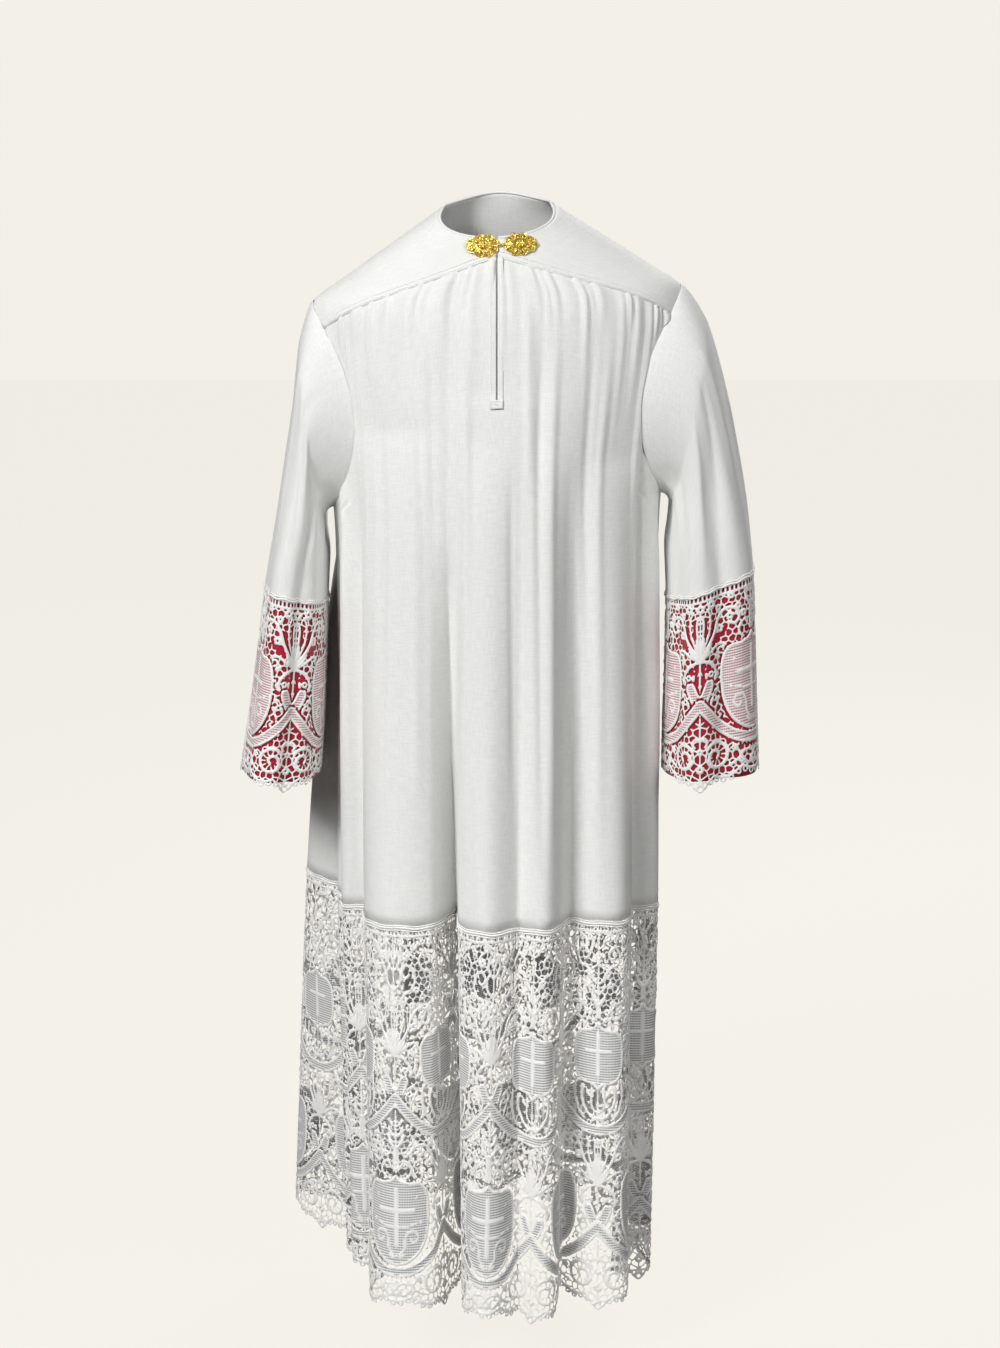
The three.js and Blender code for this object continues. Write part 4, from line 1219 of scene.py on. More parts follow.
    def lay_brides(self) -> None:
        """The ground of brides: the edges between cells about unevenly set points.

        Formula: a place's distance to the edge between its two nearest points is
        (d2^2 - d1^2) / (2 * the distance of the two points).
        """
        random = np.random.default_rng(self.seed)
        half = self.repeat / 2
        across = np.arange(self.cell / 4, half, self.cell)
        up = np.arange(1.0 - self.below, self.tall + self.cell, self.cell * self.row_pitch)
        seeds = np.stack(np.meshgrid(across, up), axis=-1)
        seeds[1::2, :, 0] += self.cell / 2
        moved = random.uniform(-self.uneven, self.uneven, (seeds.size // 2, 2)) * self.cell
        seeds = seeds.reshape(-1, 2) + moved
        seeds[:, 0] = np.clip(seeds[:, 0], self.clear_of_axis, half - self.clear_of_axis)
        seeds = np.concatenate([seeds, seeds * [-1, 1], seeds * [-1, 1] + [2 * half, 0]])
        seeds = seeds[(seeds[:, 0] > -2 * self.cell) & (seeds[:, 0] < half + 2 * self.cell)]
        away = np.hypot(self.a[:, None] - seeds[None, :, 0], self.h[:, None] - seeds[None, :, 1])
        near = np.argpartition(away, 1, axis=1)[:, :2]
        first, second = (np.take_along_axis(away, near[:, [k]], axis=1)[:, 0] for k in (0, 1))
        gap = np.linalg.norm(seeds[near[:, 0]] - seeds[near[:, 1]], axis=1)
        to_edge = np.abs(second**2 - first**2) / (2.0 * gap)
        self.lay(self.bride - to_edge, self.bride_relief * np.clip(1.0 - to_edge / self.bride, 0.0, 1.0))

    def lay_border(self) -> None:
        """The border under the ribbons: wheels of bars, arcs and flowers."""
        for ring in WHEELS:
            self.lay_ring(ring, as_drawn)
        for strand in BORDER:
            self.lay_strand(strand, as_drawn)
        for flower in BORDER_FLOWERS:
            self.lay_flower(flower, as_drawn)

    def tier_place(self, tier: Tier) -> Callable[[Array], Array]:
        """How a tier's (a, g) lies in (a, h): the upper one is shifted by half a repeat."""
        rise = self.ribbon_low + tier.value * self.tier_rise
        if tier is Tier.LOWER:
            return lambda points: points + [0.0, rise]
        return lambda points: points * [-1.0, 1.0] + [self.repeat / 2, rise]

    def lay_tier(self, tier: Tier) -> None:
        """One tier: its palmette, field, ladder and crossing ribbons, and the upper one's crown."""
        place = self.tier_place(tier)
        if tier is Tier.LOWER:
            gaps, sides, outline, art, dots = (), SHIELD_SIDES, SHIELD, SHIELD_ART, SHIELD_DOTS
            crown, flowers = (), ()
        else:
            gaps, sides, outline, art, dots = ARCH_GAPS + CROWN_GAPS, ARCH_SIDES, ARCH, ARCH_ART, ARCH_DOTS
            crown, flowers = CROWN, CROWN_FLOWERS
        for gap in PALMETTE_GAPS + gaps:
            self.lay_gap(gap, place)
        for strand in PALMETTE + LADDER + sides + crown + RUNGS:
            self.lay_strand(strand, place)
        for ring in PALMETTE_RINGS:
            self.lay_ring(ring, place)
        for flower in PALMETTE_FLOWERS + LADDER_FLOWERS + flowers:
            self.lay_flower(flower, place)
        self.lay_ribbon(RIBBON_END, place)
        self.lay_ribbon(RIBBON, place)
        self.lay_net(outline, place)
        for strand in art:
            self.lay_strand(strand, place)
        for dot in dots:
            self.lay_flower(dot, place)

    def lay_ribbon(self, points: tuple, place: Callable[[Array], Array]) -> None:
        """A ribbon of fine net between two cords, with a gap along each."""
        line = place(smooth_path(points, 24))
        distance, _ = line_distance(line, self.a, self.h)
        half = self.ribbon_half
        self.moat(distance - half - self.ribbon_cord)
        self.relief = np.where(distance < half, 0.0, self.relief)
        self.lay(half - distance, np.full(self.a.shape, self.net_relief), 1.0)
        self.lay_cord(np.abs(distance - half), self.ribbon_cord, self.ribbon_relief)

    def lay_band(self) -> None:
        """The band along the top: short upright bars between two cords."""
        low = self.tall - self.band
        self.clear(np.minimum(self.h - low, self.bare))
        pitch = self.repeat / self.bars
        off = np.abs((self.a / pitch) % 1.0 - 0.5) * pitch
        bar = np.minimum(self.bar_half - off, self.h - low)
        self.lay(bar, self.bar_relief * np.clip(bar, 0.0, 1.0))
        for height, half in ((low, 1.6), (self.tall - 1.0, 2.2)):
            self.lay_cord(np.abs(self.h - height), half, self.cord_relief)

    def cut_edge(self) -> None:
        """Cuts the scalloped edge, then adds its border cord, picots and the pendant's loops."""
        self.thread = np.minimum(self.thread, self.h - self.edge(self.a))
        off = np.abs(self.h - self.edge(self.a) - self.edge_cord_at)
        self.lay_cord(off, self.edge_cord_half, self.edge_cord_relief)
        pitch = self.repeat / self.picots
        nearest = (np.floor(self.a / pitch) + 0.5) * pitch
        reach = np.hypot(self.a - nearest, self.h - self.edge(nearest) + self.picot_sunk)
        self.lay_cord(np.abs(reach - self.picot_radius), self.picot_half, 1.0)
        for ring in PENDANT:
            self.lay_ring(ring, as_drawn)

    def strip(self, repeats: float, first: float) -> tuple[Array, Array, Array]:
        """The three fields along a strip.

        Args:
            repeats: how many repeats long it is.
            first: the phase where it starts, 0 on a field's axis and 0.5 on a spray's.

        Returns:
            thread, relief and net, each with rows from the edge up and columns along the strip.
        """
        count = round(repeats * 2 * self.columns)
        begin = round(first * 2 * self.columns)
        at = (begin + np.arange(count + 1)) % (2 * self.columns)
        at = np.minimum(at, 2 * self.columns - at)
        return tuple(one.reshape(self.shape)[:, at] for one in (self.thread, self.relief, self.net))


SLIVER = 0.06  # a crossing is kept this share of a side away from its corners

# The triangles of a marching square, by which corners lie in thread. Corners 0 to 3 run round from low
# left, and 4 to 7 are the crossings on the sides after them.
SQUARES = {
    1: ((0, 4, 7),),
    2: ((4, 1, 5),),
    3: ((0, 1, 5), (0, 5, 7)),
    4: ((5, 2, 6),),
    5: ((0, 4, 5), (0, 5, 2), (0, 2, 6), (0, 6, 7)),
    6: ((4, 1, 2), (4, 2, 6)),
    7: ((0, 1, 2), (0, 2, 6), (0, 6, 7)),
    8: ((7, 6, 3),),
    9: ((0, 4, 6), (0, 6, 3)),
    10: ((4, 1, 5), (4, 5, 6), (4, 6, 3), (4, 3, 7)),
    11: ((0, 1, 5), (0, 5, 6), (0, 6, 3)),
    12: ((7, 5, 2), (7, 2, 3)),
    13: ((0, 4, 5), (0, 5, 2), (0, 2, 3)),
    14: ((4, 1, 2), (4, 2, 3), (4, 3, 7)),
    15: ((0, 1, 2), (0, 2, 3)),
}


@dataclass(frozen=True)
class CutLace:
    """A flat strip of lace as triangles: places (s, h), relief, net and corners."""

    places: Array
    relief: Array
    net: Array
    faces: Array

    @property
    def area(self) -> float:
        """The area of the thread, in square millimetres: half the cross product of two sides, summed."""
        a, b, c = (self.places[self.faces[:, k]] for k in range(3))
        return float(np.abs(np.cross(b - a, c - a)).sum() / 2)


def cut_lace(pattern: LacePattern, repeats: float, first: float) -> CutLace:
    """Cuts a strip of lace out of its pattern by marching squares.

    Formula: a side between thread and gap is crossed where the field, taken as straight, is 0.

    Args:
        pattern: the pattern.
        repeats: how many repeats long the strip is.
        first: the pattern's phase where it starts.

    Returns:
        The strip, with s and h in millimetres.
    """
    thread, relief, net = pattern.strip(repeats, first)
    rows, columns = thread.shape
    s = np.linspace(0.0, repeats * pattern.repeat, columns)
    h = pattern.h.reshape(pattern.shape)[:, 0]
    grid_s, grid_h = np.meshgrid(s, h)
    count = rows * columns
    index = np.arange(count).reshape(rows, columns)
    corner = (index[:-1, :-1], index[:-1, 1:], index[1:, 1:], index[1:, :-1])
    slots = corner + (count + corner[0], 2 * count + corner[1], count + corner[3], 2 * count + corner[0])
    solid = thread > 0
    case = solid[:-1, :-1] + 2 * solid[:-1, 1:] + 4 * solid[1:, 1:] + 8 * solid[1:, :-1]
    faces = [
        np.stack([slots[k][case == key] for k in corners], axis=1)
        for key, tris in SQUARES.items()
        for corners in tris
    ]
    used, faces = np.unique(np.concatenate(faces), return_inverse=True)
    faces = faces.reshape(-1, 3)
    kind, base = used // count, used % count
    other = base + np.choose(kind, [0, 1, columns])
    other = np.minimum(other, count - 1)
    flat = thread.ravel()
    share = flat[base] / np.where(flat[base] == flat[other], 1.0, flat[base] - flat[other])
    share = np.where(kind == 0, 0.0, np.clip(share, SLIVER, 1.0 - SLIVER))
    places = np.stack([mix(g.ravel()[base], g.ravel()[other], share) for g in (grid_s, grid_h)], axis=1)
    height = np.where(kind == 0, relief.ravel()[base], 0.0)
    net_at = np.where(kind == 0, net.ravel()[base], np.maximum(net.ravel()[base], net.ravel()[other]))
    return CutLace(places, height, net_at, faces)


@dataclass(frozen=True)
class Drape:
    """A fine table of places and normals on a strip of cloth, by the share along it and the way down."""

    places: Array
    normals: Array
    down: Array

    def lay(self, share: Array, down: Array, out: Array) -> Array:
        """Where flat places lie on the cloth.

        Formula: places and normals are read straight between the four nearest of the table, and the
        place is moved along its normal.

        Args:
            share: the share along the strip.
            down: the way down from its top, in millimetres.
            out: how far to move out.

        Returns:
            The points.
        """
        rows, columns = self.places.shape[:2]
        u = np.clip(share, 0.0, 1.0) * (columns - 1)
        v = np.interp(down, self.down, np.arange(rows))
        i, j = np.minimum(u.astype(int), columns - 2), np.minimum(v.astype(int), rows - 2)
        u, v = (u - i)[:, None], (v - j)[:, None]

        def blend(grid: Array) -> Array:
            """The grid read straight between its four nearest."""
            return mix(mix(grid[j, i], grid[j, i + 1], u), mix(grid[j + 1, i], grid[j + 1, i + 1], u), v)

        return blend(self.places) + unit(blend(self.normals)) * np.asarray(out)[:, None]


# ------------------------------------------------------------------ finishes
def linear(code: str) -> tuple[float, float, float, float]:
    """A hex sRGB colour as linear light.

    Formula: below 0.04045 a channel is divided by 12.92, and above it ((c + 0.055) / 1.055) ^ 2.4.

    Args:
        code: the colour, as "#rrggbb".

    Returns:
        Red, green, blue and an alpha of 1.
    """
    channels = [int(code[k : k + 2], 16) / 255 for k in (1, 3, 5)]
    curve = [c / 12.92 if c <= 0.04045 else ((c + 0.055) / 1.055) ** 2.4 for c in channels]
    return curve[0], curve[1], curve[2], 1.0


def add_node(
    tree: bpy.types.NodeTree, kind: str, fields: dict | None = None, inputs: dict | None = None
) -> bpy.types.Node:
    """Adds a node, sets its fields, and sets or links its inputs.

    Args:
        tree: the node tree.
        kind: the node's type, without the word ShaderNode.
        fields: values for the node's own fields.
        inputs: a value or an output socket for each named or numbered input.

    Returns:
        The node.
    """
    node = tree.nodes.new(f"ShaderNode{kind}")
    for name, value in (fields or {}).items():
        setattr(node, name, value)
    for name, value in (inputs or {}).items():
        if isinstance(value, bpy.types.NodeSocket):
            tree.links.new(value, node.inputs[name])
        else:
            node.inputs[name].default_value = value
    return node


def wave_scale(spacing: float) -> float:
    """The scale at which a Wave texture on metres repeats every spacing millimetres: 2 pi / 20 of it."""
    return 2.0 * math.pi / (20.0 * spacing * MM)


@dataclass(frozen=True)
class Finish:
    """What every finish shares: its name, its two colours and its gloss."""

    name: str
    colour: str
    roughness: float
    shade: str = ""

    def surface(self, metallic: float = 0.0, sheen: float = 0.0) -> tuple:
        """A new material, its node tree and its surface node."""
        material = bpy.data.materials.new(self.name)
        material.use_nodes = True
        tree = material.node_tree
        shader = tree.nodes["Principled BSDF"]
        shader.inputs["Base Color"].default_value = linear(self.colour)
        shader.inputs["Roughness"].default_value = self.roughness
        shader.inputs["Metallic"].default_value = metallic
        shader.inputs["Sheen Weight"].default_value = sheen
        return material, tree, shader

    def weave(
        self, tree: bpy.types.NodeTree, place: bpy.types.NodeSocket, axis: str, spacing: float, uneven: float
    ) -> bpy.types.NodeSocket:
        """Threads along one axis, so many millimetres apart, as a height from 0 to 1.

        Args:
            tree: the material's nodes.
            place: the coordinates in metres.
            axis: X, Y or DIAGONAL.
            spacing: from one thread to the next.
            uneven: how much the threads sway.

        Returns:
            The height's socket.
        """
        fields = {"wave_type": "BANDS", "bands_direction": axis}
        inputs = {"Vector": place, "Scale": wave_scale(spacing), "Distortion": uneven, "Detail": 1.0}
        return add_node(tree, "TexWave", fields, inputs).outputs["Fac"]

    def finish(
        self,
        tree: bpy.types.NodeTree,
        shader: bpy.types.Node,
        share: bpy.types.NodeSocket | None,
        height: bpy.types.NodeSocket,
        strength: float,
        deep: float,
    ) -> None:
        """Ends a material: its shade and colour mixed by a share, and a height as bump.

        Args:
            tree: the material's nodes.
            shader: its surface node.
            share: the socket of the share of the full colour, or None for the colour alone.
            height: the bump's socket.
            strength: the bump's strength.
            deep: the bump's depth in millimetres.
        """
        if share is not None:
            inputs = {"Factor": share, "A": linear(self.shade), "B": linear(self.colour)}
            colour = add_node(tree, "Mix", {"data_type": "RGBA"}, inputs)
            tree.links.new(colour.outputs["Result"], shader.inputs["Base Color"])
        inputs = {"Height": height, "Strength": strength, "Distance": deep * MM}
        tree.links.new(add_node(tree, "Bump", None, inputs).outputs[0], shader.inputs["Normal"])

    def make(self) -> bpy.types.Material:
        """The finish as a material."""
        return self.surface()[0]


@dataclass(frozen=True)
class WovenLinen(Finish):
    """Plain-woven linen blend, bleached and pressed: matt, with uneven threads that show as fine slubs."""

    name: str = "woven_linen"
    colour: str = "#f4f4f1"
    roughness: float = 0.84
    shade: str = "#ebecea"
    thread: float = 1.1  # real threads are 0.5 mm apart, too fine to show, so they are drawn coarser
    bump: float = 0.3

    def make(self) -> bpy.types.Material:
        """Two sets of threads at right angles as bump, and slubs along both as a slight grey."""
        material, tree, shader = self.surface(sheen=0.1)
        cloth = add_node(tree, "UVMap", {"uv_map": "cloth"}).outputs[0]
        across, up = (self.weave(tree, cloth, axis, self.thread, 1.2) for axis in ("X", "Y"))
        weave = add_node(tree, "Math", {"operation": "ADD"}, {0: across, 1: up})
        slubs = []
        for stretch in ((1.0, 0.08, 1.0), (0.08, 1.0, 1.0)):
            turned = add_node(tree, "Mapping", None, {"Vector": cloth, "Scale": stretch})
            inputs = {"Vector": turned.outputs[0], "Scale": 1.0 / (self.thread * 1.4 * MM), "Detail": 2.0}
            slubs.append(add_node(tree, "TexNoise", None, inputs).outputs["Fac"])
        slub = add_node(tree, "Math", {"operation": "MULTIPLY"}, {0: slubs[0], 1: slubs[1]}).outputs[0]
        share = add_node(tree, "MapRange", None, {"Value": slub, "From Min": 0.16, "From Max": 0.36})
        inputs = {0: slub, 1: 2.5, 2: weave.outputs[0]}
        height = add_node(tree, "Math", {"operation": "MULTIPLY_ADD"}, inputs)
        self.finish(tree, shader, share.outputs[0], height.outputs[0], self.bump, 0.25)
        return material


@dataclass(frozen=True)
class LaceCotton(Finish):
    """White guipure of mercerised cotton: plump matt cords, and fine net whose gaps between threads are
    painted: grey as painted shade of the gown's dark inside, red as the lining in a cuff.
    """

    name: str = "lace_cotton"
    colour: str = "#f6f5f2"
    roughness: float = 0.78
    # painted shade: the colour of the gown's dark inside, painted between the net's threads
    shade: str = "#7c8084"  # what shows through the net
    net_rows: float = 3.6  # the net's rows are 1 mm apart, and are drawn coarse enough to show
    net_posts: float = 2.4
    twist: float = 1.4  # length of a cord's twist

    def make(self) -> bpy.types.Material:
        """Rows of thread in the net by its attribute, with painted shade between them, and the twist of the
        cords as bump.
        """
        material, tree, shader = self.surface(sheen=0.1)
        cloth = add_node(tree, "UVMap", {"uv_map": "cloth"}).outputs[0]
        net = add_node(tree, "Attribute", {"attribute_name": "net"}).outputs["Fac"]
        rows = self.weave(tree, cloth, "Y", self.net_rows, 0.25)
        posts = self.weave(tree, cloth, "X", self.net_posts, 0.4)
        threads = add_node(tree, "Math", {"operation": "MULTIPLY_ADD"}, {0: posts, 1: 0.45, 2: rows})
        inputs = {"Value": threads.outputs[0], "From Min": 0.2, "From Max": 0.95, "To Min": 0.1, "To Max": 0.95}
        seen = add_node(tree, "MapRange", None, inputs).outputs[0]
        # on the net, the gaps between the threads are painted in the shade colour: painted shade over the
        # gown's dark inside, the lining's red in a cuff
        inputs = {"Factor": net, "A": 1.0, "B": seen}
        share = add_node(tree, "Mix", {"data_type": "FLOAT"}, inputs).outputs[0]
        inputs = {"Vector": cloth, "Scale": 1.0 / (self.twist * MM), "Detail": 3.0}
        twist = add_node(tree, "TexNoise", None, inputs)
        height = add_node(tree, "Math", {"operation": "ADD"}, {0: share, 1: twist.outputs["Fac"]})
        self.finish(tree, shader, share, height.outputs[0], 0.5, 0.5)
        return material


@dataclass(frozen=True)
class CottonThread(Finish):
    """Twisted cotton sewing thread and cord: white, a little glossier than the cloth."""

    name: str = "cotton_thread"
    colour: str = "#f8f7f4"
    roughness: float = 0.7
    twist: float = 1.6

    def make(self) -> bpy.types.Material:
        """The thread's twist as a fine bump on Object coordinates."""
        material, tree, shader = self.surface(sheen=0.1)
        place = add_node(tree, "TexCoord").outputs["Object"]
        inputs = {"Vector": place, "Scale": 1.0 / (self.twist * MM), "Detail": 2.0}
        twist = add_node(tree, "TexNoise", None, inputs)
        self.finish(tree, shader, None, twist.outputs["Fac"], 0.5, 0.4)
        return material


@dataclass(frozen=True)
class CrimsonSatin(Finish):
    """Crimson polyester satin lining: floats of thread give it a soft gloss."""

    name: str = "crimson_satin"
    colour: str = "#c8143c"
    roughness: float = 0.42
    shade: str = "#a00d2c"
    thread: float = 1.2

    def make(self) -> bpy.types.Material:
        """Fine floats across the lining as bump, and a slow change of shade."""
        material, tree, shader = self.surface(sheen=0.25)
        cloth = add_node(tree, "UVMap", {"uv_map": "cloth"}).outputs[0]
        slow = add_node(tree, "TexNoise", None, {"Vector": cloth, "Scale": 30.0, "Detail": 2.0})
        floats = self.weave(tree, cloth, "DIAGONAL", self.thread, 1.0)
        self.finish(tree, shader, slow.outputs["Fac"], floats, 0.2, 0.2)
        return material


@dataclass(frozen=True)
class GiltBrass(Finish):
    """Cast brass, gilt and polished: bright on the raised work, with painted shade in the recesses."""

    name: str = "gilt_brass"
    colour: str = "#ffe680"
    roughness: float = 0.34
    # the colour of the painted shade in the recesses
    shade: str = "#c9962e"
    grain: float = 1.1

    def make(self) -> bpy.types.Material:
        """Painted shade in the recesses, by how pointed the surface is, and a slight cast unevenness as bump.
        """
        material, tree, shader = self.surface(metallic=1.0)
        place = add_node(tree, "TexCoord").outputs["Object"]
        inputs = {"Vector": place, "Scale": 1.0 / (self.grain * MM), "Detail": 3.0}
        noise = add_node(tree, "TexNoise", None, inputs)
        edge = add_node(tree, "NewGeometry").outputs["Pointiness"]
        # painted shade: where the surface is hollow, the colour falls to the shade colour
        share = add_node(tree, "MapRange", None, {"Value": edge, "From Min": 0.44, "From Max": 0.54})
        self.finish(tree, shader, share.outputs[0], noise.outputs["Fac"], 0.25, 0.2)
        return material


@dataclass
class Finishes:
    """The alb's finishes, each made once."""

    linen: bpy.types.Material = field(default_factory=lambda: WovenLinen().make())
    lace: bpy.types.Material = field(default_factory=lambda: LaceCotton().make())
    lined_lace: bpy.types.Material = field(
        default_factory=lambda: LaceCotton(name="lined_lace_cotton", shade="#b0405a").make()
    )
    thread: bpy.types.Material = field(default_factory=lambda: CottonThread().make())
    satin: bpy.types.Material = field(default_factory=lambda: CrimsonSatin().make())
    gilt: bpy.types.Material = field(default_factory=lambda: GiltBrass().make())


def dress(piece: bpy.types.Object, finish: bpy.types.Material, slot: str, *nodes: str) -> bpy.types.Object:
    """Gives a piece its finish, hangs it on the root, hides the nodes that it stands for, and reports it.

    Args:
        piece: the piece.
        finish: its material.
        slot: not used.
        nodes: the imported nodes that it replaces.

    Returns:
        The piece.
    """
    piece.data.materials.append(finish)
    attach(piece, ROOT)
    if nodes:
        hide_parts(*nodes)
    walls = 2 if piece.modifiers else 1
    triangles = walls * sum(len(face.vertices) - 2 for face in piece.data.polygons)
    area = sum(face.area for face in piece.data.polygons)
    LOG.info("%s: about %d triangles, %.4f square metres of cloth", piece.name, triangles, area)
    return piece


# ------------------------------------------------------------------ the gown's pieces
@dataclass(frozen=True)
class Gathers:
    """The gathers sewn into a yoke seam: uneven in width, depth and length."""

    count: int = 32
    reach: float = 66.0
    lengths: tuple[float, ...] = (150, 62, 118, 50, 196, 84, 66, 142, 96, 250, 76)
    depths: tuple[float, ...] = (5.2, 2.6, 4.4, 2.4, 5.8, 3.6, 2.2, 4.8, 3.0, 5.4, 2.8)
    uneven: float = 0.35
    seam_fade: float = 9.0

    def height(self, turn: Array, below: Array) -> Array:
        """How far the cloth stands out.

        Formula: within each gather the section is |sin|^1.5 of the way across it, fading out with the
        gather's own length, and half as deep in the seam itself.

        Args:
            turn: the angle from the panel's centre.
            below: the way below the seam.

        Returns:
            The height in millimetres.
        """
        place = (turn / self.reach + 1.0) * self.count / 2
        place = place + self.uneven * np.sin(place * 1.9) + self.uneven * 0.6 * np.sin(place * 0.83 + 1.0)
        which = np.floor(place).astype(int)
        deep = np.array(self.depths)[which % len(self.depths)]
        long = np.array(self.lengths)[(which * 3) % len(self.lengths)]
        fade = (1.0 - ease(below / long)) * (0.5 + 0.5 * ease(below / self.seam_fade))
        return deep * fade * np.abs(np.sin(np.pi * place)) ** 1.5 * (np.abs(turn) < self.reach)


@dataclass
class GownCloth:
    """What the yokes and panels share: the form, the finishes and how rows of cloth are laid."""

    form: GownForm
    finishes: Finishes

    def lay_rows(
        self, centre: float, span: tuple[Array, Array], height: Callable[[Array], Array], shares: Array
    ) -> tuple[Array, Array]:
        """Turns and heights at even steps along rows of cloth.

        Args:
            centre: the panel's centre.
            span: where each row starts and ends, from the centre.
            height: gives the heights for rows of turns.
            shares: the wanted shares of each row's length.

        Returns:
            The turns and the heights.
        """
        start, end = centre + span[0], centre + span[1]
        turns = even_steps(lambda t: self.form.point(t, height(t)), start, end, shares)
        return turns, height(turns)

    def make(
        self, name: str, turns: Array, z: Array, out: Array, wall: float, keep: Array | None = None
    ) -> bpy.types.Object:
        """A walled piece from a grid of turns and heights, moved out along the normal.

        Args:
            name: the piece's name.
            turns: the angle of each point.
            z: the height of each point.
            out: how far each stands out.
            wall: the wall's thickness.
            keep: which cells have a face.

        Returns:
            The object, with its cloth's flat places as UVs.
        """
        rows, columns = turns.shape
        normals = self.form.normal(turns, z)
        points = self.form.point(turns, z) + normals * (out + self.form.creased(turns, z))[..., None]
        uv = flat_places(points)
        middle = uv[:, [columns // 2]].copy()
        uv[..., 0] -= middle[..., 0]
        uv[..., 1] = middle[..., 1]
        faces = grid_faces(rows, columns, keep=keep)
        piece = make_object(name, points.reshape(-1, 3), faces, uv.reshape(-1, 2))
        thicken(piece, wall)
        return piece


@dataclass
class Panel(GownCloth):
    """Front or back of the gown, gathered into the yoke seam and falling to the lace."""

    gathers: Gathers = field(default_factory=Gathers)
    columns: int = 100  # of each half
    straight: float = 50.0  # columns hang straight down within this turn, and spread to the edges beyond it
    inner: int = 62  # how many of them are within it
    upper_rows: int = 32
    lower_rows: int = 30
    close: float = 1.35  # the power that starts the rows close together
    wall: float = 1.2
    slit_half: float = 0.6
    slit_reach: float = 85.0  # how far the slit is from the gown's middle

    def heights(self, turns: Array) -> Array:
        """The heights of all rows at their turns: from the seam to the underarm, then level."""
        share = np.linspace(0.0, 1.0, self.upper_rows)[:, None] ** self.close
        seam = self.form.yoke_seam(turns) - self.form.seam / 2
        end = self.form.lace_top + self.form.seam / 2
        level = np.linspace(self.form.armhole_bottom, end, self.lower_rows + 1)
        upper = mix(seam[: self.upper_rows], self.form.armhole_bottom, share)
        return np.concatenate([upper, np.broadcast_to(level[1:, None], seam[self.upper_rows :].shape)])

    def build(self, name: str, centre: float) -> bpy.types.Object:
        """The panel about its centre, with a slit where it is the front."""
        rows = self.upper_rows + self.lower_rows
        edges = [self.form.panel_edge(centre, side, self.heights, rows) for side in (-1, 1)]
        middle = np.full(rows, math.degrees(self.slit_half / self.slit_reach))
        split = np.full(rows, self.straight)
        inner = np.linspace(0.0, 1.0, self.inner)
        outer = np.linspace(0.0, 1.0, self.columns - self.inner + 1)
        spans = (
            ((-edges[0], -split), outer[:-1]),
            ((-split, -middle), inner),
            ((middle, split), inner),
            ((split, edges[1]), outer[1:]),
        )
        grids = [self.lay_rows(centre, span, self.heights, shares) for span, shares in spans]
        turns, z = (np.concatenate([one[k] for one in grids], axis=1) for k in (0, 1))
        below = self.form.yoke_seam(turns) - z
        out = self.gathers.height(apart(turns, centre), below)
        keep = np.ones((rows - 1, 2 * self.columns - 1), bool)
        if centre == 0:
            keep[:, self.columns - 1] = z[1:, self.columns - 1] < self.form.slit_bottom
        piece = self.make(f"{name}_cloth", turns, z, out, self.wall, keep)
        return dress(piece, self.finishes.linen, "linen", name)


@dataclass
class Yoke(GownCloth):
    """The fitted yoke: two fronts that meet at the slit, and a back, of two layers."""

    wall: float = 2.0
    rows: int = 30
    rise: float = 1.3  # how far it stands over the panels at its seam, from this share of the way down
    rise_from: float = 0.55
    rise_over: float = 0.4
    roll: float = 0.5  # how far it rolls out at the neck, down to this share
    roll_over: float = 0.1
    overlap: float = 1.2
    slit_half: float = 0.6
    slit_reach: float = 80.0

    @property
    def slit_turn(self) -> float:
        """Half the slit's width as an angle."""
        return math.degrees(self.slit_half / self.slit_reach)

    def heights(self, turns: Array) -> Array:
        """The heights of all rows: from the neck edge to just past the yoke seam."""
        share = np.linspace(0.0, 1.0, self.rows)[:, None]
        neck = self.form.neck_edge(turns)
        return mix(neck, self.form.yoke_seam(turns) + self.form.seam / 2, share)

    def build(self, name: str, centre: float, low: float, high: float, steps: int) -> bpy.types.Object:
        """A part of the yoke between two angles, where 90 runs to the shoulder or the armhole.

        Args:
            name: the node that it stands for.
            centre: its panel's centre.
            low: where it starts, from the centre.
            high: where it ends.
            steps: its steps along a row.

        Returns:
            The piece.
        """
        edge = {side: self.form.panel_edge(centre, side, self.heights, self.rows) for side in (-1, 1)}
        start = np.full(self.rows, low) if low > -90 else -edge[-1]
        end = np.full(self.rows, high) if high < 90 else edge[1]
        turns, z = self.lay_rows(centre, (start, end), self.heights, np.linspace(0.0, 1.0, steps + 1))
        share = np.linspace(0.0, 1.0, self.rows)[:, None]
        rise = self.rise * ease((share - self.rise_from) / self.rise_over)
        out = rise + self.roll * ease((self.roll_over - share) / self.roll_over)
        z = z - self.overlap * (share == 1.0)
        piece = self.make(f"{name}_cloth", turns, z, np.broadcast_to(out, z.shape), self.wall)
        return dress(piece, self.finishes.linen, "linen", name)


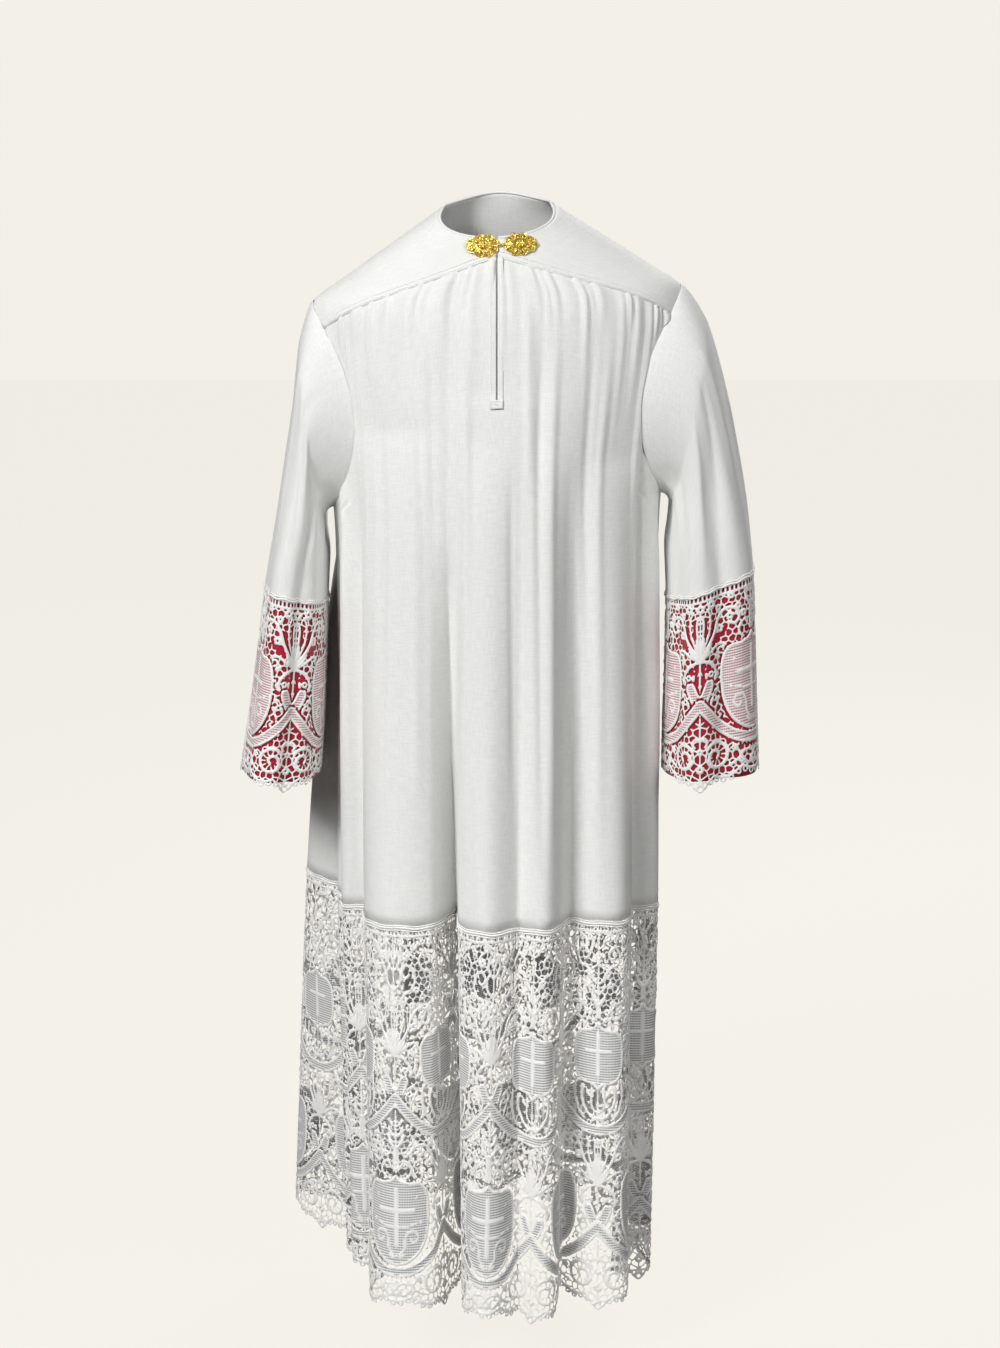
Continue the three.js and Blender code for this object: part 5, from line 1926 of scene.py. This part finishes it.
# ------------------------------------------------------------------ sleeves and cuffs
@dataclass
class Sleeve:
    """One bell sleeve with its cuff: the linen, the red lining and the lace over it."""

    form: SleeveForm
    finishes: Finishes
    pattern: LacePattern
    columns: int = 104
    rows: int = 62
    wall: float = 1.2
    lace_wall: float = 1.8
    close: float = 1.15  # the power that starts the rows close together
    lining_apart: float = 1.2
    lining_wall: float = 1.0
    lining_top: float = 5.0
    lining_short: float = 7.0  # how far above the cuff's edge it ends
    lining_grid: tuple[int, int] = (25, 100)
    lace_grid: tuple[int, int] = (60, 90)
    lace_seam: float = 0.1  # degrees from the outer and inner line
    lace_top: float = 0.15
    lace_below: float = 16.0
    repeats: float = 1.5
    firsts: tuple[float, float] = (0.625, 0.125)

    def lay_rings(self, low: float, high: float, t: Array, columns: int) -> tuple[Array, Array]:
        """Angles at even steps round the sleeve between two angles, for each t, and t for each of them."""
        start, end = np.full(len(t), low), np.full(len(t), high)

        def place(angle: Array) -> Array:
            """The places on the form, one ring a row."""
            return self.form.point(angle, np.broadcast_to(t[:, None], angle.shape))

        angle = even_steps(place, start, end, np.linspace(0.0, 1.0, columns))
        return angle, np.broadcast_to(t[:, None], angle.shape)

    def ring(self, t: Array, columns: int) -> tuple[Array, Array]:
        """Angles at even steps all round the sleeve for each t, and t for each of them."""
        return tuple(one[:, :-1] for one in self.lay_rings(-180.0, 180.0, t, columns + 1))

    def cloth(self) -> bpy.types.Object:
        """The linen from the armhole to the cuff's seam."""
        t = np.linspace(0.0, 1.0, self.rows) ** self.close * self.form.below_seam(-self.form.gown.seam)
        angle, t_grid = self.ring(t, self.columns)
        out = self.form.creased(angle, t_grid) + self.form.head.height(angle, t_grid)
        points = self.form.point(angle, t_grid) + self.form.normal(angle, t_grid) * out[..., None]
        name = f"sleeve_{self.form.side.word}"
        return dress(self.ring_piece(f"{name}_cloth", points, self.wall), self.finishes.linen, "linen", name)

    def ring_piece(self, name: str, points: Array, wall: float) -> bpy.types.Object:
        """A walled tube of cloth from rings of points, with its flat places as UVs."""
        uv = flat_places(points)
        uv[..., 0] -= uv[..., 0].mean(axis=1, keepdims=True)
        faces = grid_faces(*points.shape[:2], closed=True, flip=self.form.side is Side.LEFT)
        piece = make_object(name, points.reshape(-1, 3), faces, uv.reshape(-1, 2))
        thicken(piece, wall)
        return piece

    def lining(self) -> bpy.types.Object:
        """The red lining, which follows the lace from inside and ends at its lobes."""
        rows, columns = self.lining_grid
        t = self.form.below_seam(np.linspace(self.lining_top, self.form.cuff - self.lining_short, rows))
        angle, t_grid = self.ring(t, columns)
        inside = -self.lace_wall - self.lining_apart
        points = self.form.point(angle, t_grid) + self.form.normal(angle, t_grid) * inside
        name = f"cuff_lining_{self.form.side.word}"
        piece = self.ring_piece(f"{name}_satin", points, self.lining_wall)
        return dress(piece, self.finishes.satin, "lining", name)

    def lace(self, half: str) -> bpy.types.Object:
        """The lace of half a cuff, between the seams on its outer and inner line."""
        low, first = {"front": (0.0, self.firsts[0]), "back": (-180.0, self.firsts[1])}[half]
        rows, columns = self.lace_grid
        down = np.linspace(self.lace_top, self.form.cuff + self.lace_below, rows)
        start, end = low + self.lace_seam, low + 180.0 - self.lace_seam
        angle, t_grid = self.lay_rings(start, end, self.form.below_seam(down), columns)
        drape = Drape(self.form.point(angle, t_grid), self.form.normal(angle, t_grid), down)
        name = f"cuff_lace_{self.form.side.word}_{half}"
        flip = self.form.side is Side.LEFT
        span = (0.0, self.repeats, self.repeats)
        finish = self.finishes.lined_lace
        return lace_piece(f"{name}_guipure", name, self.pattern, span, first, drape, finish, flip)


LACE_RAISE = 0.7  # the share of the drawn relief that a cord is raised by
LACE_SINK = 0.7  # how far in from the form a thread without relief lies


def lace_piece(
    name: str,
    node: str,
    pattern: LacePattern,
    span: tuple[float, float, float],
    first: float,
    drape: Drape,
    finish: bpy.types.Material,
    flip: bool = False,
) -> bpy.types.Object:
    """A strip of lace laid on its drape.

    Args:
        name: the piece's name.
        node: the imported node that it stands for.
        pattern: the lace's pattern.
        span: the repeats where it starts and ends, and how many the whole drape has.
        first: the pattern's phase where the drape starts.
        drape: the draped form.
        finish: its material.
        flip: whether the strip runs to the left, seen from outside.

    Returns:
        The piece.
    """
    start, end, whole = span
    flat = cut_lace(pattern, end - start, first + start)
    share = (start + flat.places[:, 0] / pattern.repeat) / whole
    down = pattern.tall - flat.places[:, 1]
    points = drape.lay(share, down, LACE_RAISE * flat.relief - LACE_SINK)
    faces = flat.faces[:, ::-1] if flip else flat.faces
    piece = make_object(name, points, faces, flat.places + [start * pattern.repeat, 0.0])
    attribute = piece.data.attributes.new("net", "FLOAT", "POINT")
    attribute.data.foreach_set("value", flat.net.astype(np.float32))
    dress(piece, finish, "lace", node)
    return piece


@dataclass
class HemLace:
    """The deep band of lace round the hem, front and back, each in two lengths."""

    form: GownForm
    finishes: Finishes
    pattern: LacePattern
    repeats: int = 7
    first: float = 0.25
    below: float = 14.0
    rows: int = 110
    columns: int = 44  # of the drape, in a repeat

    def build(self) -> list[bpy.types.Object]:
        """The band's four lengths."""
        down = np.linspace(0.0, self.pattern.tall + self.below, self.rows)
        z = (self.form.lace_top - self.form.seam / 2 - down)[:, None]
        edge = np.full(len(z), 90.0 - self.form.seam_turn)
        shares = np.linspace(0.0, 1.0, self.repeats * self.columns + 1)
        pieces = []
        for word, centre in (("front", 0.0), ("back", 180.0)):
            turns = even_steps(lambda t: self.form.point(t, z), centre - edge, centre + edge, shares)
            drape = Drape(self.form.point(turns, z), self.form.normal(turns, z), down)
            node = f"hem_lace_{word}"
            for part, (start, end) in enumerate(((0, self.repeats / 2), (self.repeats / 2, self.repeats))):
                span = (start, end, self.repeats)
                name = f"{node}_guipure_{'ab'[part]}"
                finish = self.finishes.lace
                pieces.append(lace_piece(name, node, self.pattern, span, self.first, drape, finish))
        return pieces


# ------------------------------------------------------------------ seams and trimmings
@dataclass(frozen=True)
class CordRun:
    """One cord along a seam: how far below it, its radius, and how far out its middle is."""

    drop: float
    radius: float
    out: float


@dataclass(frozen=True)
class Wave:
    """The slight waves of hand sewing: a fast and a slow sine of the step, and how deep each is."""

    fast: float
    slow: float
    shift: float = 0.0
    fast_deep: float = 0.8
    slow_deep: float = 0.5

    def height(self, steps: int) -> Array:
        """The wave's height at each of so many steps."""
        step = np.arange(steps)
        slow = self.slow_deep * np.sin(step * self.slow + self.shift)
        return self.fast_deep * np.sin(step * self.fast) + slow


@dataclass
class Trimmings:
    """The sewing that shows: cords along the lace, the neck's binding and rows of stitches."""

    form: GownForm
    finishes: Finishes
    cords: tuple[CordRun, ...] = (CordRun(0.5, 1.5, 0.5), CordRun(-2.6, 0.8, 0.3), CordRun(4.0, 0.8, 0.3))
    hem_steps: int = 600
    hem_wave: Wave = Wave(0.42, 0.17, 1.0)
    cuff_steps: int = 300
    cuff_wave: Wave = Wave(0.45, 0.19)
    stitch: Stitch = Stitch()
    stitch_reach: float = 57.0
    stitch_rise: float = 1.5
    stitch_rows: tuple[float, float] = (2.6, 8.2)  # above the yoke's seam
    binding: float = 1.9
    binding_open: float = 0.9  # degrees from the slit
    binding_up: float = 0.4
    binding_in: float = 0.6

    def line(self, turns: Array, z: Array, out: Array) -> tuple[Array, Array]:
        """Places and normals along a line on the gown, moved out."""
        normals = self.form.normal(turns, z)
        return self.form.point(turns, z) + normals * np.broadcast_to(out, turns.shape)[:, None], normals

    def hem_cord(self) -> bpy.types.Object:
        """The raised cord round the seam above the hem lace, with a thinner one to each side."""
        low, high, shares = np.array([-90.0]), np.array([270.0]), np.linspace(0.0, 1.0, self.hem_steps)
        turns = even_steps(lambda t: self.form.point(t, self.form.lace_top), low, high, shares)[0]
        wave = self.hem_wave.height(self.hem_steps)
        parts = []
        for cord in self.cords:
            path, normals = self.line(turns, self.form.lace_top - cord.drop + wave, cord.out)
            parts.append(tube(path, normals, cord.radius, 6))
        return dress(make_object("hem_seam_cord", *joined(parts)), self.finishes.thread, "lace")

    def cuff_cord(self, sleeve: SleeveForm) -> bpy.types.Object:
        """The raised cord round a cuff's seam, with a thinner one above it."""
        low, high, shares = np.array([-180.0]), np.array([180.0]), np.linspace(0.0, 1.0, self.cuff_steps)
        angle = even_steps(lambda a: sleeve.point(a, np.ones_like(a)), low, high, shares)[0]
        wave = self.cuff_wave.height(self.cuff_steps)
        parts = []
        for cord in self.cords[:2]:
            t = sleeve.below_seam(cord.drop + wave)
            normals = sleeve.normal(angle, t)
            parts.append(tube(sleeve.point(angle, t) + normals * cord.out, normals, cord.radius, 6))
        name = f"cuff_seam_cord_{sleeve.side.word}"
        return dress(make_object(name, *joined(parts)), self.finishes.thread, "lace")

    def yoke_stitching(self) -> bpy.types.Object:
        """Two rows of stitches above each yoke seam."""
        parts = []
        for centre in (0.0, 180.0):
            for above in self.stitch_rows:
                turns = centre + np.linspace(-self.stitch_reach, self.stitch_reach, 400)
                z = self.form.yoke_seam(turns) + above
                path, normals = self.line(turns, z, self.stitch_rise + self.form.creased(turns, z))
                parts.append(stitches(path, normals, self.stitch))
        return dress(make_object("yoke_stitching", *joined(parts)), self.finishes.thread, "linen")

    def neck_binding(self) -> bpy.types.Object:
        """The rolled binding round the neck edge, open at the slit."""
        turns = np.linspace(self.binding_open, 360.0 - self.binding_open, 260)
        path, normals = self.line(turns, self.form.neck_edge(turns) + self.binding_up, -self.binding_in)
        piece = make_object("neck_binding", *tube(path, normals, self.binding, 8))
        return dress(piece, self.finishes.linen, "linen")


@dataclass
class Slit(GownCloth):
    """The slit's facing, seen as two narrow strips with their stitches, and the patch over its end."""

    wide: float = 8.6  # the facing reaches from slit_half to wide on each side
    slit_half: float = 0.7
    top_gap: float = 1.0
    wall: float = 0.7
    rise: float = 1.0
    gather_rise: float = 1.6  # how much more it stands out over the gathers, and how far down they end
    gather_long: float = 120.0
    columns: int = 7
    rows: int = 70
    rounded: float = 0.5
    short: float = 3.0  # how far above the slit's end the facing ends
    stitch: Stitch = Stitch(radius=0.4)
    stitch_in: float = 1.2
    stitch_rise: float = 0.2
    patch: tuple[float, float, float] = (17.0, -238.0, 12.0)  # its width, top and height
    patch_grid: tuple[int, int] = (9, 13)
    patch_rise: float = 2.3
    patch_wall: float = 0.9
    box_stitch: Stitch = Stitch(2.0, 0.8)
    box_in: float = 1.4
    box_rise: float = 2.4

    def turn_at(self, x: float, z: Array) -> Array:
        """The turn at a distance x to the wearer's left of the slit: its arc sine on the section."""
        half = read(column(self.form.sections, "z"), column(self.form.sections, "half"), z)
        return np.degrees(np.arcsin(x / half))

    def facing(self) -> bpy.types.Object:
        """The two strips beside the slit."""
        seam = self.form.front_seam.centre - self.top_gap
        z = np.linspace(seam, self.form.slit_bottom + self.short, self.rows)[:, None]
        grids = []
        for low, high in ((-self.wide, -self.slit_half), (self.slit_half, self.wide)):
            x = np.linspace(low, high, self.columns)[None, :]
            turns = self.turn_at(x, z)
            round_off = self.rounded * np.abs(np.linspace(-1.0, 1.0, self.columns)) ** 4
            out = self.rise + self.gathered(z) - round_off[None, :] + self.form.creased(turns, z)
            normals = self.form.normal(turns, z)
            points = self.form.point(turns, z) + normals * out[..., None]
            grids.append((points.reshape(-1, 3), grid_faces(*points.shape[:2])))
        points, faces = joined(grids)
        uv = np.stack([points[:, 0], points[:, 2]], axis=1)
        piece = make_object("slit_facing", points, faces, uv)
        thicken(piece, self.wall)
        return dress(piece, self.finishes.linen, "linen")

    def gathered(self, z: Array) -> Array:
        """How much further the strips stand out over the gathers, less and less as these fade."""
        return self.gather_rise * (1.0 - ease((self.form.front_seam.centre - z) / self.gather_long))

    def tack(self) -> bpy.types.Object:
        """The patch over the slit's end: a small pillow; its box of stitches with a cross is made with the
        slit's stitching.
        """
        wide, top, tall = self.patch
        rows, columns = self.patch_grid
        x = np.linspace(-wide / 2, wide / 2, columns)[None, :]
        z = np.linspace(top, top - tall, rows)[:, None]
        turns = self.turn_at(x, z)
        z = np.broadcast_to(z, turns.shape)
        round_x, round_z = np.abs(x / (wide / 2)), np.abs((z - top + tall / 2) / (tall / 2))
        out = self.patch_rise - self.patch_wall * np.maximum(round_x, round_z) ** 6
        points = self.form.point(turns, z) + self.form.normal(turns, z) * out[..., None]
        uv = np.stack([turns, z], axis=-1).reshape(-1, 2)
        piece = make_object("slit_tack_patch", points.reshape(-1, 3), grid_faces(rows, columns), uv)
        thicken(piece, self.patch_wall)
        return dress(piece, self.finishes.linen, "linen", "slit_tack")

    def stitching(self) -> bpy.types.Object:
        """A row of stitches along each strip, and the box on the patch."""
        wide, top, tall = self.patch
        parts = []
        for x in (-self.wide + self.stitch_in, self.wide - self.stitch_in):
            ends = self.form.front_seam.centre - self.short, self.form.slit_bottom + 2.0 * self.short
            z = np.linspace(*ends, 200)
            turns = self.turn_at(x, z)
            normals = self.form.normal(turns, z)
            out = self.rise + self.stitch_rise + self.gathered(z) + self.form.creased(turns, z)
            path = self.form.point(turns, z) + normals * out[:, None]
            parts.append(stitches(path, normals, self.stitch))
        half, high, low = wide / 2 - self.box_in, top - self.box_in, top - tall + self.box_in
        corners = [(-half, high), (half, high), (half, low), (-half, low), (-half, high), (half, low)]
        for (x0, z0), (x1, z1) in zip(corners, corners[1:]):
            share = np.linspace(0.0, 1.0, 30)
            z = mix(z0, z1, share)
            turns = self.turn_at(mix(x0, x1, share), z)
            normals = self.form.normal(turns, z)
            path = self.form.point(turns, z) + normals * self.box_rise
            parts.append(stitches(path, normals, self.box_stitch))
        return dress(make_object("slit_stitching", *joined(parts)), self.finishes.thread, "linen")


# ------------------------------------------------------------------ the clasp
@dataclass
class Clasp:
    """The gilt clasp: two filigree leaves of scrolled wire and beads, joined by a hook."""

    form: GownForm
    finishes: Finishes
    middle: float = 6.0
    z: float = -41.0
    long: float = 41.0
    tall: float = 29.0
    apart: float = 10.0
    stand: float = 1.0
    leaves: int = 9
    ripple: float = 0.07
    narrow: float = 0.22
    domed: float = 3.0
    rim: float = 0.95
    inner_rim: float = 0.55
    scroll: float = 2.7
    petals: int = 6
    boss: float = 1.9
    link: float = 0.95
    eye: float = 0.6

    def frame(self, x: float) -> tuple[Array, Array]:
        """The place on the yoke at a distance x to the wearer's left, and its axes as rows."""
        z = np.array(self.z)
        half = float(read(column(self.form.sections, "z"), column(self.form.sections, "half"), z))
        turn = np.array(math.degrees(math.asin(x / half)))
        out = self.form.normal(turn, z)
        across = unit(np.cross(UP, out))
        return self.form.point(turn, z), np.stack([across, np.cross(out, across), out])

    def outline(self, angle: Array, size: float = 1.0) -> Array:
        """A leaf's rippled egg shape.

        Formula: an ellipse whose radius ripples with the cosine of so many leaves, and whose height
        shrinks with the cosine of the angle, so that it is narrower away from the hook.

        Args:
            angle: the angle round it, in radians from the far end.
            size: the share of the full size.

        Returns:
            The points, flat.
        """
        ripple = (1.0 + self.ripple * np.cos(self.leaves * angle)) * size
        x = self.long / 2 * np.cos(angle) * ripple
        y = self.tall / 2 * np.sin(angle) * ripple * (1.0 - self.narrow * np.cos(angle))
        return np.stack([x, y], axis=-1)

    def dome(self, flat: Array) -> Array:
        """How high the leaf stands at a flat place: half a sphere's fall over its size."""
        reach = (flat[:, 0] / (self.long / 2)) ** 2 + (flat[:, 1] / (self.tall / 2)) ** 2
        return self.domed * np.sqrt(np.clip(1.0 - reach, 0.0, 1.0))

    def wire(self, flat: Array, radius: Array, lift: float = 0.0, sides: int = 6) -> tuple[Array, Array]:
        """A wire along a flat line, laid over the dome."""
        path = np.concatenate([flat, (self.dome(flat) + lift + 0.6)[:, None]], axis=1)
        return tube(path, np.broadcast_to(UP, path.shape), radius, sides)

    def curl(
        self, centre: tuple[float, float], radius: float, start: float, turns: float
    ) -> tuple[Array, Array]:
        """A scroll of wire: its radius falls evenly to a third as it turns, and a bead ends it."""
        share = np.linspace(0.0, 1.0, 20)
        angle = start + share * turns * 2.0 * np.pi
        reach = radius * (1.0 - 0.68 * share)
        flat = np.stack([centre[0] + reach * np.cos(angle), centre[1] + reach * np.sin(angle)], axis=1)
        end = flat[-1]
        knob = bead([end[0], end[1], float(self.dome(flat[-1:])[0]) + 1.2], UP, radius * 0.34)
        return joined([self.wire(flat, 0.62 - 0.2 * share), knob])

    def leaf(self) -> tuple[Array, Array]:
        """One leaf in its own axes: a rim, scrolls, small leaves, rings of wire and a flower; its ground is a
        separate disc.
        """
        angle = np.linspace(0.0, 2.0 * np.pi, 109)
        parts = [
            self.wire(self.outline(angle), self.rim, 0.2),
            self.wire(self.outline(angle, 0.86), self.inner_rim),
        ]
        share = np.linspace(0.0, 1.0, 9)[:, None]
        for k in range(self.leaves):
            at = 2.0 * np.pi * k / self.leaves
            root, tip = (self.outline(np.array([at]), size) for size in (0.42, 0.98))
            blade = 0.35 + 1.25 * np.sin(np.pi * share[:, 0]) ** 0.8
            parts.append(self.wire(mix(root, tip, share), blade, 0.4))
            side, bud = (self.outline(np.array([at + np.pi / self.leaves]), size)[0] for size in (0.68, 0.93))
            start, turns = at + (k % 2) * np.pi, 1.35 - 2.7 * (k % 2)  # every second one curls the other way
            parts.append(self.curl(tuple(side), self.scroll - 0.5 * math.cos(at), start, turns))
            parts.append(bead([bud[0], bud[1], 1.5], UP, 1.05))
        for k in range(self.petals):
            at = 2.0 * np.pi * k / self.petals
            x, y = np.cos(at) * np.linspace(1.0, 6.2, 8), np.sin(at) * np.linspace(1.0, 5.2, 8)
            flat = np.stack([x, y], axis=1)
            parts.append(self.wire(flat, 0.4 + 1.3 * np.sin(np.linspace(0.2, np.pi - 0.1, 8)), 0.9, 8))
        parts.append(bead([0.0, 0.0, 4.6], UP, self.boss, 0.8, 12))
        for size in (0.3, 0.56):
            parts.append(self.wire(self.outline(angle[::3], size), 0.5, -0.2))
        return joined(parts)

    def ground(self) -> tuple[Array, Array]:
        """The thin plate behind the filigree: a closed disc in the leaf's outline, a little smaller."""
        angle = np.linspace(0.0, 2.0 * np.pi, 73)[:-1]
        sizes = np.array([0.0, 0.5, 0.9, 0.9, 0.5, 0.0])
        high = np.array([1.4, 1.2, 0.6, 0.0, 0.0, 0.0])
        rings = np.stack([self.outline(angle, max(size, 0.01)) for size in sizes])
        low = np.broadcast_to(high[:, None, None], rings.shape[:2] + (1,))
        points = np.concatenate([rings, low], axis=-1).reshape(-1, 3)
        return points, halved(grid_faces(len(sizes), len(angle), closed=True))

    def hook(self) -> tuple[Array, Array]:
        """The hook's link in its own axes, with an eye and a bead at each end."""
        share = np.linspace(0.0, 1.0, 24)
        reach = self.apart / 2 + 1.5
        sway, rise = 0.5 * np.sin(share * 2 * np.pi), 3.0 + 0.8 * np.sin(np.pi * share)
        link = np.stack([mix(-reach, reach, share), sway, rise], axis=1)
        parts = [tube(link, np.broadcast_to(UP, link.shape), self.link, 8)]
        loop = np.linspace(0.0, 2.0 * np.pi, 25)
        for side in (-1.0, 1.0):
            x = side * (self.apart / 2 - 1.4) + 1.7 * np.cos(loop)
            eye = np.stack([x, 1.9 * np.sin(loop), np.full(loop.shape, 2.6)], axis=1)
            parts.append(tube(eye, np.broadcast_to(UP, eye.shape), self.eye, 8))
            parts.append(bead([side * 2.2, 0.0, 3.4], [1, 0, 0], 1.7, 0.9))
        return joined(parts)

    def build(self) -> list[bpy.types.Object]:
        """Both leaves and the hook between them."""
        pieces = []
        points, faces = joined([self.leaf(), self.ground()])
        for word, sign in (("left", 1.0), ("right", -1.0)):
            origin, axes = self.frame(self.middle + sign * (self.long + self.apart) / 2)
            turned = points * [sign, sign, 1.0] + [0.0, 0.0, self.stand]
            piece = make_object(f"clasp_leaf_{word}", origin + turned @ axes, faces)
            pieces.append(dress(piece, self.finishes.gilt, "gilt", f"clasp_{word}"))
        origin, axes = self.frame(self.middle)
        points, faces = self.hook()
        hook = make_object("clasp_link", origin + points @ axes, faces)
        pieces.append(dress(hook, self.finishes.gilt, "gilt", "clasp_hook"))
        return pieces


# ------------------------------------------------------------------ the studio
@dataclass(frozen=True)
class Lamp:
    """A square soft light: its place, aim and size in metres, its watts and its beam's width in degrees."""

    name: str
    place: tuple[float, float, float]
    aim: float  # the height on the gown's axis that it is turned to
    size: float
    watts: float
    spread: float = 180.0

    def build(self) -> None:
        """Adds the light to the scene."""
        data = bpy.data.lights.new(self.name, "AREA")
        data.size, data.energy, data.spread = self.size, self.watts, math.radians(self.spread)
        lamp = bpy.data.objects.new(self.name, data)
        lamp.location = self.place
        x, y, z = self.place
        lift = math.atan2(self.aim - z, math.hypot(x, y))
        lamp.rotation_euler = (math.pi / 2 + lift, 0.0, math.atan2(x, -y))
        bpy.context.scene.collection.objects.link(lamp)


LAMPS = (
    Lamp("key", (-2.4, -3.0, 2.2), -0.8, 1.3, 174.0),
    Lamp("fill", (2.6, -2.9, 0.7), -1.0, 1.8, 42.0),
    Lamp("top", (0.0, -0.6, 2.2), -0.4, 1.6, 5.0),
    Lamp("back", (1.8, 3.3, 1.6), -0.8, 1.8, 105.0),
    Lamp("hem", (-1.3, -2.6, 0.3), -1.5, 0.9, 1.1, 34.0),
)


@dataclass
class Studio:
    """The floor, the background and the camera, placed in metres."""

    floor_z: float = -1.585
    floor_half: float = 16.0
    ground: str = "#f3f0e7"
    ambient: float = 0.1
    glow: float = 0.955
    camera_place: tuple[float, float, float] = (0.004, -3.2, 0.05)
    camera_pitch: float = 12.0
    lens: float = 62.76

    def floor(self) -> None:
        """A plain pale floor, clear of the hem."""
        side = self.floor_half / MM
        z = self.floor_z / MM
        corners = np.array([[-side, -side, z], [side, -side, z], [side, side, z], [-side, side, z]])
        floor = make_object("studio_floor", corners, np.array([[0, 1, 2, 3]]))
        material, tree, shader = Finish("studio_floor", "#33322f", 0.9).surface()
        shader.inputs["Emission Color"].default_value = linear(self.ground)
        glow = self.camera_share(tree, self.ambient * 0.5, self.glow)
        tree.links.new(glow, shader.inputs["Emission Strength"])
        floor.data.materials.append(material)

    def camera_share(self, tree: bpy.types.NodeTree, lights: float, seen: float) -> bpy.types.NodeSocket:
        """How strongly a backdrop glows: one strength as it lights the gown, and one as it is seen."""
        ray = add_node(tree, "LightPath").outputs["Is Camera Ray"]
        return add_node(tree, "MapRange", None, {"Value": ray, "To Min": lights, "To Max": seen}).outputs[0]

    def world(self) -> None:
        """A pale background for the camera, which lights the gown more weakly than it looks."""
        world = bpy.data.worlds.new("studio")
        world.use_nodes = True
        tree = world.node_tree
        shade = tree.nodes["Background"]
        shade.inputs["Color"].default_value = linear(self.ground)
        tree.links.new(self.camera_share(tree, self.ambient, 1.0), shade.inputs["Strength"])
        bpy.context.scene.world = world

    def build(self) -> None:
        """The floor, the lights, the background and the camera."""
        self.floor()
        for lamp in LAMPS:
            lamp.build()
        self.world()
        data = bpy.data.cameras.new("view")
        data.lens, data.sensor_width, data.sensor_fit = self.lens, 36.0, "AUTO"
        camera = bpy.data.objects.new("view", data)
        camera.location = self.camera_place
        camera.rotation_euler = (math.radians(90.0 - self.camera_pitch), 0.0, 0.0)
        bpy.context.scene.collection.objects.link(camera)
        bpy.context.scene.camera = camera
        bpy.context.scene.view_settings.view_transform = "Standard"


def declare(piece: bpy.types.Object) -> None:
    """Logs the size that a piece of hung cloth was cut to, the reach of its flat places, and its area."""
    uv = np.empty(2 * len(piece.data.loops), np.float32)
    piece.data.uv_layers["cloth"].data.foreach_get("uv", uv)
    wide, long = np.ptp(uv.reshape(-1, 2), axis=0).tolist()
    area = min(sum(face.area for face in piece.data.polygons), wide * long)
    LOG.info("%s: cut %.3f by %.3f m, %.4f square metres", piece.name, wide, long, area)


def main() -> None:
    """Builds the alb, piece by piece."""
    logging.basicConfig(level=logging.INFO, format="%(name)s: %(message)s")
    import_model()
    form = GownForm()
    finishes = Finishes()
    Studio().build()
    panel = Panel(form, finishes)
    declare(panel.build("front_panel", 0.0))
    declare(panel.build("back_panel", 180.0))
    yoke = Yoke(form, finishes)
    declare(yoke.build("yoke_front_left", 0.0, yoke.slit_turn, 90.0, 60))
    declare(yoke.build("yoke_front_right", 0.0, -90.0, -yoke.slit_turn, 60))
    declare(yoke.build("yoke_back", 180.0, -90.0, 90.0, 120))
    hem = LacePattern(543.0, (Tier.LOWER, Tier.UPPER), step=166.0 / 76)
    HemLace(form, finishes, hem).build()
    cuff = LacePattern(270.0, (Tier.LOWER,), step=166.0 / 92)
    trimmings = Trimmings(form, finishes)
    for side in Side:
        sleeve = Sleeve(SleeveForm(side, form), finishes, cuff)
        declare(sleeve.cloth())
        declare(sleeve.lining())
        for half in ("front", "back"):
            sleeve.lace(half)
        trimmings.cuff_cord(sleeve.form)
    trimmings.hem_cord()
    trimmings.yoke_stitching()
    trimmings.neck_binding()
    opening = Slit(form, finishes)
    opening.facing()
    opening.tack()
    opening.stitching()
    Clasp(form, finishes).build()


if __name__ == "__main__":
    main()
